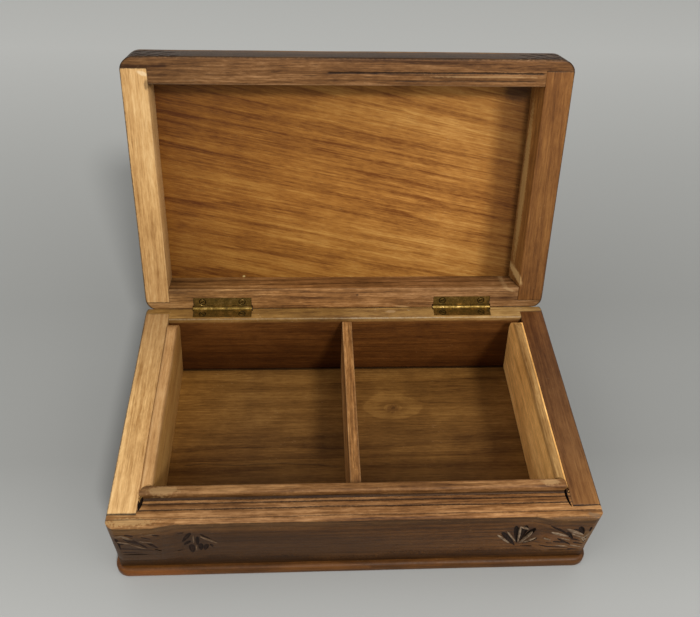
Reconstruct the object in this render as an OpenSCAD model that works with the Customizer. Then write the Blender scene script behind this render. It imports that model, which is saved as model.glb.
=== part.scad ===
/* [Box] */
// Width over the side walls at the rim
box_w = 204; // [170:1:260]
// Depth over the front and rear walls at the rim
box_d = 125; // [105:1:170]
// Height of the rim above the table
rim_h = 43.7; // [36:0.1:60]
// Radius of the outer upright corners
corner_r = 4; // [2:0.5:5]
// Softening of the outer edges of the rims
rim_round = 1.2; // [0.4:0.1:1.8]

/* [Base plate] */
// Thickness of the moulded base plate, whose top is the floor of the compartments
plate_t = 5; // [4:0.5:8]
// How far the plate stands out from the foot of the walls
plate_proud = 2.6; // [1:0.2:5]
// Corner radius of the plate in plan
plate_corner_r = 6; // [4:0.5:10]
// Radius of the plate's upper edge
plate_top_round = 2.2; // [1:0.1:2.4]
// Radius of the plate's lower edge
plate_foot_round = 1.2; // [0.5:0.1:1.4]

/* [Walls] */
// Thickness of the side walls
side_wall_t = 12; // [9:0.5:16]
// Full thickness of the front wall, at a carved corner
front_wall_t = 12.3; // [10:0.1:16]
// Thickness of the rear wall
rear_wall_t = 8.6; // [8:0.1:14]
// Thickness of the front wall's lap over the ends of the side walls
front_lap_t = 5.8; // [5:0.1:7.5]
// Thickness of the rear wall's lap over the ends of the side walls
rear_lap_t = 4.3; // [3:0.1:6]
// How far the face of the front wall leans in from the rim to the plate
front_lean = 2.2; // [0.4:0.2:2.6]
// Depth to which the field between the carved corners is cut back
field_cut = 1.6; // [0.4:0.1:2]
// Width of each raised carved corner on the front wall
carved_w = 19; // [12:1:40]
// Length of the slope from a carved corner down to the field
carved_slope = 9; // [4:1:16]
// Height of the lower border of the carved corners above the table
carved_bottom = 14; // [10:0.5:24]

/* [Liners and divider] */
// Thickness of the liners at the rim
liner_t = 5.4; // [4:0.1:7]
// Thickness of the side liners at the floor
liner_foot_t = 3; // [2:0.1:5]
// Height of the liners' lip above the rim
lip_h = 3.3; // [2:0.1:4.5]
// Radius of the lip's two top edges
lip_round = 1.6; // [0.5:0.1:1.7]
// Side clearance between the lip and the lid's rails
lip_clear = 0.6; // [0.6:0.1:1]
// Radius of the front liner's rear corners in plan, which the side liners are coped to
liner_corner_r = 4.6; // [2:0.1:4.8]
// How far the front lip stays behind the inner face of the front wall
front_lip_back = 0.8; // [0.2:0.1:1.4]
// Gap between the front liner's ends and the side walls
liner_end_gap = 0.6; // [0:0.1:1.2]
// Gap between the front liner's corners and the coped side liners
cope_gap = 0.3; // [0.1:0.1:0.6]
// Radius by which the side liners are rounded down at their rear ends
liner_end_r = 12.5; // [12:0.5:15]
// Thickness of the divider
divider_t = 4.6; // [3:0.1:7]
// How far the divider's top stays below the rim
divider_drop = 0.6; // [0.3:0.1:4]
// Radius of the divider's rear top corner
divider_end_r = 3; // [1:0.5:6]

/* [Lid] */
// How far the lid's front edge stands out over the front of the rim
lid_overhang = 1; // [0:0.1:2]
// Height of the lid's rails
lid_rail_h = 14; // [11:0.5:22]
// Thickness of the board that closes the lid's top
lid_board_t = 4; // [3:0.5:7]
// Width of the lid's front rail
lid_front_rail_w = 12.2; // [10:0.1:15]
// Width of the lid's rear rail
lid_rear_rail_w = 12; // [10.5:0.1:12.8]
// Width of the lid's left rail
lid_left_rail_w = 12; // [9:0.1:13.5]
// Width of the lid's right rail
lid_right_rail_w = 13; // [9:0.1:13.5]
// How much wider the lid's right rail is at the board than at its rim
lid_right_slant = 2.4; // [0.2:0.1:3]
// Radius of the lid's upright corners
lid_corner_r = 7; // [4:0.5:9]
// Thickness of the lid's front lap over the ends of the side rails
lid_front_lap_t = 5.2; // [4:0.1:7]
// Thickness of the lid's rear lap over the ends of the side rails
lid_rear_lap_t = 4.4; // [3:0.1:6]
// Radius of the lid board's top edge
lid_top_round = 2.4; // [1:0.1:2.8]
// Angle at which the lid stands open on its bevelled stop
lid_open = 106.8; // [98:0.2:116]
// Gap between the two rims with the lid closed
rim_gap = 0.16; // [0.1:0.02:0.4]

/* [Hinges] */
// Distance from the left end of the box to the middle of the left hinge
hinge_left_in = 38.7; // [30:0.1:50]
// Distance from the right end of the box to the middle of the right hinge
hinge_right_in = 42.3; // [30:0.1:50]
// Length of a hinge leaf
hinge_len = 29.2; // [26:0.1:34]
// Width of a hinge leaf from the pin's axis
leaf_w = 6; // [5.6:0.1:7]
// Thickness of a hinge leaf
leaf_t = 0.9; // [0.7:0.1:1.2]
// Outer radius of the hinge knuckles
knuckle_r = 1.5; // [1.3:0.1:1.7]
// Length of the lid leaf's middle knuckle
middle_knuckle = 9.6; // [7:0.1:12]
// Gap between neighbouring knuckles
knuckle_gap = 0.2; // [0.1:0.05:0.4]
// Radius of the hinge pin
pin_r = 0.8; // [0.6:0.05:0.9]
// Radial clearance of the pin in the knuckles
pin_clear = 0.04; // [0.02:0.01:0.08]
// Thickness of the pin's riveted heads
pin_head_t = 0.35; // [0.2:0.05:0.6]
// How far the pin's axis lies inside the rear faces
hinge_inset = 1; // [0.7:0.1:1.4]
// Clearance round a leaf in its recess
recess_clear = 0.15; // [0.1:0.05:0.4]
// Clearance round the knuckles in the wood
knuckle_room = 0.3; // [0.2:0.05:0.5]

/* [Screws] */
// Distance from a hinge's middle to each of its two screws
screw_apart = 10; // [8.5:0.1:12]
// Distance from the pin's axis to the screws
screw_out = 3.7; // [3.6:0.1:4]
// Radius of a screw head
screw_head_r = 1.6; // [1.3:0.1:1.8]
// Radius of a screw's shank
screw_r = 0.8; // [0.6:0.1:1]
// Length of a screw under its head
screw_len = 7; // [5:0.5:9]
// Radial clearance of the screws in their holes
screw_clear = 0.03; // [0.02:0.01:0.06]
// Width and depth of a screw head's slot
slot_w = 0.45; // [0.3:0.05:0.6]

/* [Hidden] */
$fn = 48;

half_w = box_w / 2;
half_d = box_d / 2;
wall_h = rim_h - plate_t;
over = 1; // extra length of every cutter past the face it leaves

front_in = -half_d + front_wall_t; // inner face of the front wall
rear_in = half_d - rear_wall_t; // inner face of the rear wall
side_in = half_w - side_wall_t; // inner faces of the side walls
liner_rear = front_in + liner_t; // rear face of the front liner
foot_y = half_d - field_cut - front_lean; // foot of the front wall's field
lean_a = atan(front_lean / wall_h);
lip_top = rim_h + lip_h;

// The lid closed: its underside, its board and its front edge
lid_z = rim_h + rim_gap;
board_z = lid_z + lid_rail_h;
lid_front = -half_d - lid_overhang;
lid_in_front = lid_front + lid_front_rail_w;
front_lip_y = min(-front_in - front_lip_back, -lid_in_front - lip_clear); // front lip, with Y mirrored

// The hinge axis runs along X, midway between the two rims
axis_y = half_d - hinge_inset;
axis_z = rim_h + rim_gap / 2;
stop_gap = 0.05; // the two stop bevels stay this far from the axis, so they meet but don't bite
bevel_a = lid_open / 2;

hinge_xs = [-half_w + hinge_left_in, half_w - hinge_right_in];
head_t = screw_head_r - screw_r; // a countersink of 90 degrees

module lid_place() {
    translate([0, axis_y, axis_z])
        rotate([-lid_open, 0, 0])
            translate([0, -axis_y, -axis_z])
                children();
}

// What lies outside a quarter circle of radius r about the origin, in the first quadrant
module corner_waste(r) {
    difference() {
        square([r + over, r + over]);
        circle(r = r);
    }
}

// Along X: the profile's own x is the depth, Y, and its own y is the height, Z
module along_x(len) {
    translate([-len / 2, 0, 0])
        rotate([90, 0, 90])
            linear_extrude(height = len)
                children();
}

// Along Y from y0: the profile's own x is the width, X, and its own y is the height, Z
module along_y(y0, y1) {
    translate([0, y1, 0])
        rotate([90, 0, 0])
            linear_extrude(height = y1 - y0)
                children();
}

// Plan of a board along X, outer face at y = -out and outer corners of radius r, with a lap at each end
// over the side boards
module lapped_plan(out, full_t, lap_t, left_t, right_t, r = corner_r) {
    difference() {
        polygon([
            [-half_w, -out], [half_w, -out], [half_w, -out + lap_t],
            [half_w - right_t, -out + lap_t], [half_w - right_t, -out + full_t],
            [-half_w + left_t, -out + full_t], [-half_w + left_t, -out + lap_t], [-half_w, -out + lap_t]
        ]);
        for (s = [0, 1])
            mirror([s, 0])
                translate([half_w - r, -out + r])
                    mirror([0, 1])
                        corner_waste(r);
    }
}

// Face of the rims seen from the front, with its upper outer edges softened
module rim_face(z0, h) {
    difference() {
        translate([-half_w, z0])
            square([box_w, h]);
        for (s = [0, 1])
            mirror([s, 0])
                translate([half_w - rim_round, z0 + h - rim_round])
                    corner_waste(rim_round);
    }
}

// Edge of a moulded board: w deep, t thick, with its top and bottom edges rounded
module edge_profile(w, t, top_r, foot_r) {
    difference() {
        square([w, t]);
        translate([w - top_r, t - top_r])
            corner_waste(top_r);
        if (foot_r > 0)
            translate([w - foot_r, foot_r])
                mirror([0, 1])
                    corner_waste(foot_r);
    }
}

// A board in the XY plane from y0 to y1, width w, with moulded edges and round corners
module moulded_board(w, y0, y1, t, r, top_r, foot_r) {
    d = y1 - y0;
    translate([0, (y0 + y1) / 2, 0]) {
        for (sx = [-1, 1])
            for (sy = [-1, 1])
                translate([sx * (w / 2 - r), sy * (d / 2 - r), 0])
                    rotate_extrude()
                        edge_profile(r, t, top_r, foot_r);
        for (a = [0, 180])
            rotate([0, 0, a]) {
                translate([w / 2 - r, 0, 0])
                    along_y(-d / 2 + r, d / 2 - r)
                        edge_profile(r, t, top_r, foot_r);
                translate([0, d / 2 - r, 0])
                    along_x(w - 2 * r)
                        edge_profile(r, t, top_r, foot_r);
            }
        translate([-w / 2 + r, -d / 2 + r, 0])
            cube([w - 2 * r, d - 2 * r, t]);
    }
}

// ---- Base ----

module base_plate() {
    color("sienna")
        moulded_board(box_w + 2 * plate_proud, -foot_y - plate_proud, half_d + plate_proud, plate_t,
            plate_corner_r, plate_top_round, plate_foot_round);
}

// Upright section of the front wall with its face set back by back, from z0 up to the rim
module front_section(back, z0) {
    lean_at = front_lean * (rim_h - z0) / wall_h;
    difference() {
        polygon([
            [-half_d + back, rim_h], [-half_d + back + lean_at, z0],
            [front_in, z0 - (z0 > plate_t ? field_cut : 0)], [front_in, rim_h]
        ]);
        translate([-half_d + back + rim_round, rim_h - rim_round])
            mirror([1, 0])
                corner_waste(rim_round);
    }
}

module front_wall() {
    color("saddlebrown")
        intersection() {
            union() {
                intersection() {
                    translate([0, 0, plate_t])
                        linear_extrude(height = wall_h)
                            lapped_plan(half_d - field_cut, front_wall_t - field_cut, front_lap_t - field_cut,
                                side_wall_t, side_wall_t);
                    along_x(box_w)
                        front_section(field_cut, plate_t);
                }
                for (s = [0, 1])
                    mirror([s, 0, 0])
                        carved_corner();
            }
            along_y(-half_d - over, front_in + over)
                rim_face(plate_t, wall_h);
        }
}

// The right-hand raised corner, left proud for the leaf carving and leaning as the field does
module carved_corner() {
    intersection() {
        lean_back()
            linear_extrude(height = rim_h + over)
                difference() {
                    polygon([
                        [half_w, -half_d], [half_w - carved_w, -half_d],
                        [half_w - carved_w - carved_slope, -half_d + field_cut],
                        [half_w - carved_w - carved_slope, -half_d + front_lap_t],
                        [half_w, -half_d + front_lap_t]
                    ]);
                    translate([half_w - corner_r, -half_d + corner_r])
                        mirror([0, 1])
                            corner_waste(corner_r);
                }
        along_x(box_w)
            front_section(0, carved_bottom);
        translate([0, -half_d - over, 0])
            cube([half_w, front_lap_t + over, rim_h]);
    }
}

// Turns an upright shape about the front edge of the rim, by the angle at which the face leans in
module lean_back() {
    translate([0, -half_d, rim_h])
        rotate([lean_a, 0, 0])
            translate([0, half_d, -rim_h])
                children();
}

module rear_wall() {
    color("saddlebrown")
        difference() {
            intersection() {
                translate([0, 0, plate_t])
                    linear_extrude(height = wall_h)
                        mirror([0, 1])
                            lapped_plan(half_d, rear_wall_t, rear_lap_t, side_wall_t, side_wall_t);
                along_y(0, half_d + over)
                    rim_face(plate_t, wall_h);
            }
            stop_bevel(rim_h, -1);
            hinge_recesses(rim_h - leaf_t);
            for (x = hinge_xs)
                screw_pair(x)
                    screw_hole(rim_h, -1);
        }
}

// Waste of a stop bevel that starts at height z beside the axis; dir is -1 down or 1 up
module stop_bevel(z, dir) {
    run = hinge_inset + stop_gap + over;
    along_x(box_w + 2 * over)
        polygon([
            [axis_y - stop_gap, z], [axis_y - stop_gap + run, z + dir * run * tan(bevel_a)],
            [axis_y + run + over, z], [axis_y + run, z - dir * over], [axis_y - stop_gap, z - dir * over]
        ]);
}

module side_wall() {
    along_y(-half_d + front_lap_t, half_d - rear_lap_t)
        intersection() {
            rim_face(plate_t, wall_h);
            translate([side_in, plate_t])
                square([side_wall_t, wall_h]);
        }
}

module left_wall() {
    color("burlywood")
        mirror([1, 0, 0])
            side_wall();
}

module right_wall() {
    color("sienna")
        side_wall();
}

// Section of a liner as seen from its end: outer face at out_x below the rim and lip_x above it
module liner_section(out_x, lip_x, foot_t) {
    in_x = out_x - liner_t;
    difference() {
        polygon([
            [out_x, plate_t], [out_x, rim_h], [lip_x, rim_h], [lip_x, lip_top],
            [in_x, lip_top], [in_x, rim_h - lip_h], [out_x - foot_t, plate_t]
        ]);
        translate([lip_x - lip_round, lip_top - lip_round])
            corner_waste(lip_round);
        translate([in_x + lip_round, lip_top - lip_round])
            mirror([1, 0])
                corner_waste(lip_round);
    }
}

module front_liner() {
    color("peru")
        difference() {
            along_x(2 * (side_in - liner_end_gap))
                mirror([1, 0])
                    liner_section(-front_in, front_lip_y, liner_t);
            for (s = [0, 1])
                mirror([s, 0, 0]) {
                    lip_end(s == 0 ? lid_right_rail_w : lid_left_rail_w);
                    liner_corner_waste();
                }
        }
}

// What the rounding takes off the front liner's right rear corner
module liner_corner_waste() {
    translate([side_in - liner_end_gap - liner_corner_r, liner_rear - liner_corner_r, -over])
        linear_extrude(height = lip_top + 2 * over)
            corner_waste(liner_corner_r);
}

// Waste at the right end of the front lip, clear of a lid rail of the given width
module lip_end(rail_w) {
    lip_x = half_w - max(rail_w, side_wall_t) - lip_clear;
    translate([lip_x, front_in - over, rim_h])
        cube([side_wall_t + over, liner_t + 2 * over, lip_h + over]);
}

// The right liner, beside a lid rail of the given width
module side_liner(rail_w) {
    end_z = lip_top - liner_end_r;
    cope_r = liner_corner_r + cope_gap;
    difference() {
        intersection() {
            along_y(liner_rear - liner_corner_r, rear_in)
                liner_section(side_in, half_w - max(rail_w, side_wall_t) - lip_clear, liner_foot_t);
            along_x(2 * box_w)
                difference() {
                    translate([front_in, plate_t])
                        square([rear_in - front_in, lip_top - plate_t]);
                    translate([rear_in - liner_end_r, end_z])
                        corner_waste(liner_end_r);
                }
        }
        translate([side_in - liner_end_gap - liner_corner_r, liner_rear - liner_corner_r, 0]) {
            cylinder(h = lip_top + over, r = cope_r);
            translate([-liner_t, -over, 0])
                cube([liner_t, cope_r + over, lip_top + over]);
            translate([-liner_t, -liner_t, 0])
                cube([liner_t + cope_r, liner_t, lip_top + over]);
        }
    }
}

module left_liner() {
    color("burlywood")
        mirror([1, 0, 0])
            side_liner(lid_left_rail_w);
}

module right_liner() {
    color("burlywood")
        side_liner(lid_right_rail_w);
}

module divider() {
    top = rim_h - divider_drop;
    color("peru")
        along_x(divider_t)
            difference() {
                translate([liner_rear, plate_t])
                    square([rear_in - liner_rear, top - plate_t]);
                translate([rear_in - divider_end_r, top - divider_end_r])
                    corner_waste(divider_end_r);
            }
}

// ---- Lid, modelled closed and set open by lid_place ----

// Softening of a rail's lower outer edges, seen from the front
module lid_rim_face() {
    translate([0, 2 * lid_z + lid_rail_h])
        mirror([0, 1])
            rim_face(lid_z, lid_rail_h);
}

module lid_front_rail() {
    color("saddlebrown")
        lid_place()
            intersection() {
                translate([0, 0, lid_z])
                    linear_extrude(height = lid_rail_h)
                        lapped_plan(-lid_front, lid_front_rail_w, lid_front_lap_t, lid_left_rail_w,
                            lid_right_rail_w, lid_corner_r);
                along_x(box_w)
                    difference() {
                        translate([lid_front, lid_z])
                            square([lid_front_rail_w, lid_rail_h]);
                        translate([lid_front + rim_round, lid_z + rim_round])
                            mirror([1, 0])
                                mirror([0, 1])
                                    corner_waste(rim_round);
                    }
                along_y(lid_front - over, 0)
                    lid_rim_face();
            }
}

module lid_rear_rail() {
    color("saddlebrown")
        lid_place()
            difference() {
                intersection() {
                    translate([0, 0, lid_z])
                        linear_extrude(height = lid_rail_h)
                            mirror([0, 1])
                                lapped_plan(half_d, lid_rear_rail_w, lid_rear_lap_t, lid_left_rail_w,
                                    lid_right_rail_w, lid_corner_r);
                    along_y(0, half_d + over)
                        lid_rim_face();
                }
                stop_bevel(lid_z, 1);
                hinge_recesses(lid_z);
                for (x = hinge_xs)
                    screw_pair(x)
                        screw_hole(lid_z, 1);
            }
}

module lid_side_rail(rail_w) {
    difference() {
        along_y(lid_front + lid_front_lap_t, half_d - lid_rear_lap_t)
            intersection() {
                lid_rim_face();
                translate([half_w - rail_w, lid_z])
                    square([rail_w, lid_rail_h]);
            }
        lid_corner_waste(lid_front, 1);
        lid_corner_waste(half_d, -1);
    }
}

// What the lid's rounded corner takes off the end of a right side rail; dir is the way into the lid
// from its edge at y
module lid_corner_waste(y, dir) {
    translate([half_w - lid_corner_r, y + dir * lid_corner_r, lid_z - over])
        linear_extrude(height = lid_rail_h + 2 * over)
            mirror([0, dir > 0 ? 1 : 0])
                corner_waste(lid_corner_r);
}

// The slanted inner side of the right rail, between the front and rear rails
module lid_rail_slant(rail_w, slant) {
    along_y(lid_in_front, half_d - lid_rear_rail_w)
        intersection() {
            lid_rim_face();
            polygon([
                [half_w, lid_z], [half_w, board_z], [half_w - rail_w - slant, board_z], [half_w - rail_w, lid_z]
            ]);
        }
}

module lid_left_rail() {
    color("burlywood")
        lid_place()
            mirror([1, 0, 0])
                lid_side_rail(lid_left_rail_w);
}

module lid_right_rail() {
    color("sienna")
        lid_place() {
            lid_side_rail(lid_right_rail_w);
            lid_rail_slant(lid_right_rail_w, lid_right_slant);
        }
}

module lid_top_board() {
    color("peru")
        lid_place()
            translate([0, 0, board_z])
                moulded_board(box_w, lid_front, half_d, lid_board_t, lid_corner_r, lid_top_round, 0);
}

// ---- Hinges ----

// Room in the wood for each hinge: a shallow recess for the leaf and a groove for the knuckles
module hinge_recesses(z) {
    len = hinge_len + 2 * recess_clear;
    for (x = hinge_xs) {
        translate([x - len / 2, axis_y - leaf_w - recess_clear, z])
            cube([len, leaf_w + recess_clear, leaf_t]);
        knuckle_rod(x, hinge_len + 2 * (pin_head_t + knuckle_room), knuckle_r + knuckle_room);
    }
}

// A rod on the hinge axis, centred on x
module knuckle_rod(x, len, r) {
    translate([x - len / 2, axis_y, axis_z])
        rotate([0, 90, 0])
            cylinder(h = len, r = r);
}

// The outer stretches of the hinge axis about x, where the base leaf has its knuckles: each starts gap
// beyond the middle stretch and ends extra beyond the leaf
module outer_rods(x, gap, r, extra = 0) {
    from = middle_knuckle / 2 + gap;
    to = hinge_len / 2 + extra;
    for (s = [-1, 1])
        knuckle_rod(x + s * (from + to) / 2, to - from, r);
}

module screw_pair(x) {
    for (s = [-1, 1])
        translate([x + s * screw_apart, axis_y - screw_out, 0])
            children();
}

// A countersunk screw with its head's face at height z; dir is the way its point goes
module screw_body(z, dir, head_r, r, len) {
    translate([0, 0, z])
        mirror([0, 0, dir < 0 ? 1 : 0]) {
            cylinder(h = head_t, r1 = head_r, r2 = r);
            cylinder(h = len, r = r);
        }
}

module screw_hole(z, dir) {
    screw_body(z - dir * over, dir, screw_head_r + screw_clear, screw_r + screw_clear, over);
    screw_body(z, dir, screw_head_r + screw_clear, screw_r + screw_clear, screw_len + over / 2);
}

module screw(z, dir) {
    difference() {
        screw_body(z, dir, screw_head_r, screw_r, screw_len);
        translate([-screw_head_r, -slot_w / 2, dir > 0 ? z - over : z - slot_w])
            cube([2 * screw_head_r, slot_w, slot_w + over]);
    }
}

module base_leaf(x) {
    difference() {
        union() {
            translate([x - hinge_len / 2, axis_y - leaf_w, rim_h - leaf_t])
                cube([hinge_len, leaf_w, leaf_t]);
            outer_rods(x, knuckle_gap / 2, knuckle_r);
        }
        knuckle_rod(x, hinge_len + 2 * over, pin_r + pin_clear);
        knuckle_rod(x, middle_knuckle, knuckle_r + knuckle_gap);
        screw_pair(x)
            screw_hole(rim_h, -1);
    }
}

module lid_leaf(x) {
    lid_place()
        difference() {
            union() {
                translate([x - hinge_len / 2, axis_y - leaf_w, lid_z])
                    cube([hinge_len, leaf_w, leaf_t]);
                knuckle_rod(x, middle_knuckle - knuckle_gap, knuckle_r);
            }
            knuckle_rod(x, hinge_len + 2 * over, pin_r + pin_clear);
            outer_rods(x, -knuckle_gap / 2, knuckle_r + knuckle_gap, over);
            screw_pair(x)
                screw_hole(lid_z, 1);
        }
}

// The pin runs through both heads, each of which seats on the end of an outer knuckle
module hinge_pin(x) {
    knuckle_rod(x, hinge_len + 2 * pin_head_t, pin_r);
    for (s = [-1, 1])
        knuckle_rod(x + s * (hinge_len + pin_head_t) / 2, pin_head_t, (pin_r + knuckle_r) / 2);
}

module left_hinge_base_leaf() {
    color("goldenrod")
        base_leaf(hinge_xs[0]);
}

module right_hinge_base_leaf() {
    color("goldenrod")
        base_leaf(hinge_xs[1]);
}

module left_hinge_lid_leaf() {
    color("goldenrod")
        lid_leaf(hinge_xs[0]);
}

module right_hinge_lid_leaf() {
    color("goldenrod")
        lid_leaf(hinge_xs[1]);
}

module left_hinge_pin() {
    color("darkgoldenrod")
        hinge_pin(hinge_xs[0]);
}

module right_hinge_pin() {
    color("darkgoldenrod")
        hinge_pin(hinge_xs[1]);
}

module base_hinge_screws() {
    color("gold")
        for (x = hinge_xs)
            screw_pair(x)
                screw(rim_h, -1);
}

module lid_hinge_screws() {
    color("gold")
        lid_place()
            for (x = hinge_xs)
                screw_pair(x)
                    screw(lid_z, 1);
}

base_plate();
front_wall();
rear_wall();
left_wall();
right_wall();
front_liner();
left_liner();
right_liner();
divider();
base_hinge_screws();
left_hinge_base_leaf();
right_hinge_base_leaf();
left_hinge_pin();
right_hinge_pin();
lid_front_rail();
lid_rear_rail();
lid_left_rail();
lid_right_rail();
lid_top_board();
left_hinge_lid_leaf();
right_hinge_lid_leaf();
lid_hinge_screws();
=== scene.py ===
"""A carved wooden jewelry box with its lid standing open: boards, liners, hinges and carving."""

import logging
import math
from collections.abc import Iterable, Mapping, Sequence
from dataclasses import dataclass, field, replace
from enum import Enum

import bmesh
import bpy
from mathutils import Matrix, Vector, noise


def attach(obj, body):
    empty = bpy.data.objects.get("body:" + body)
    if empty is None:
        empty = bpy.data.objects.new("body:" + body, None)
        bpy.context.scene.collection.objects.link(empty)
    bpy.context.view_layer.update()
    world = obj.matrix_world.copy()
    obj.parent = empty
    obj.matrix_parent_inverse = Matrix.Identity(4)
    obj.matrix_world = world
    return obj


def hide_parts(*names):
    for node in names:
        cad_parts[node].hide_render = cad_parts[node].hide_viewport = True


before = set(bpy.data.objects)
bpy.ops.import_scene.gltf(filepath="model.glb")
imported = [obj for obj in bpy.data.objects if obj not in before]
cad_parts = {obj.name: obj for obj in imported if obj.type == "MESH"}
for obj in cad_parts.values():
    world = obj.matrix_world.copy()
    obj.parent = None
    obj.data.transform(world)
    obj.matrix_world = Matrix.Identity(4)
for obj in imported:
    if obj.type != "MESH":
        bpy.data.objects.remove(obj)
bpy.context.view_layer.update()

log = logging.getLogger("jewelry_box")

Rgb = tuple[float, float, float]
Point = tuple[float, float, float]
MM = 0.001


class Axis(Enum):
    """A direction of the box: across, front to back, or up."""

    X = 0
    Y = 1
    Z = 2


class Side(Enum):
    """Which body a piece belongs to."""

    BOX = "box"
    LID = "lid"


@dataclass(frozen=True)
class Sizes:
    """The box's main sizes in millimetres, with the lid as if closed."""

    half_w: float = 102.0
    half_d: float = 62.5
    rim_z: float = 43.7
    plate_t: float = 5.0
    side_in: float = 90.0
    front_in: float = -50.2
    rear_in: float = 53.9
    lid_z: float = 43.86
    board_z: float = 57.86
    lid_top: float = 61.86
    lid_front: float = -63.5
    lid_front_in: float = -51.3
    lid_rear_in: float = 50.5
    axis_y: float = 61.5
    axis_z: float = 43.78
    lid_open: float = 106.8


SIZES = Sizes()


def srgb(red: float, green: float, blue: float) -> Rgb:
    """Turns 0 to 255 display values into a linear colour.

    Args:
        red: Display red.
        green: Display green.
        blue: Display blue.

    Returns:
        The linear colour.
    """

    def linear(value: float) -> float:
        """The linear value of one display value."""
        part = value / 255
        return part / 12.92 if part <= 0.04045 else ((part + 0.055) / 1.055) ** 2.4

    return linear(red), linear(green), linear(blue)


# ---- Shader graphs ----


class Value:
    """A shader socket that takes part in Python arithmetic."""

    def __init__(self, graph: "Graph", socket: bpy.types.NodeSocket) -> None:
        """Wraps a node's output.

        Args:
            graph: The graph that holds the node.
            socket: The output socket.
        """
        self.graph = graph
        self.socket = socket

    def _maths(self, operation: str, *parts: "Feed") -> "Value":
        """Adds one Math node and returns its result."""
        return self.graph.value("ShaderNodeMath", {"operation": operation}, dict(enumerate(parts)))

    def __add__(self, other: "Feed") -> "Value":
        """Sum."""
        return self._maths("ADD", self, other)

    def __radd__(self, other: "Feed") -> "Value":
        """Sum, reflected."""
        return self._maths("ADD", other, self)

    def __sub__(self, other: "Feed") -> "Value":
        """Difference."""
        return self._maths("SUBTRACT", self, other)

    def __rsub__(self, other: "Feed") -> "Value":
        """Difference, reflected."""
        return self._maths("SUBTRACT", other, self)

    def __mul__(self, other: "Feed") -> "Value":
        """Product."""
        return self._maths("MULTIPLY", self, other)

    def __rmul__(self, other: "Feed") -> "Value":
        """Product, reflected."""
        return self._maths("MULTIPLY", other, self)

    def __truediv__(self, other: "Feed") -> "Value":
        """Quotient."""
        return self._maths("DIVIDE", self, other)

    def __pow__(self, other: "Feed") -> "Value":
        """Power."""
        return self._maths("POWER", self, other)

    def __abs__(self) -> "Value":
        """Distance from zero."""
        return self._maths("ABSOLUTE", self)

    def fraction(self) -> "Value":
        """What is left after the whole part."""
        return self._maths("FRACT", self)

    def root(self) -> "Value":
        """Square root."""
        return self._maths("SQRT", self)

    def least(self, other: "Feed") -> "Value":
        """The smaller of two values."""
        return self._maths("MINIMUM", self, other)

    def most(self, other: "Feed") -> "Value":
        """The larger of two values."""
        return self._maths("MAXIMUM", self, other)

    def falloff(self) -> "Value":
        """The bell curve e to the minus square of the value."""
        return self.graph.value("ShaderNodeMath", {"operation": "EXPONENT"}, {0: self * self * -1.0})


Feed = Value | float | int | Sequence[float]


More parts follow.
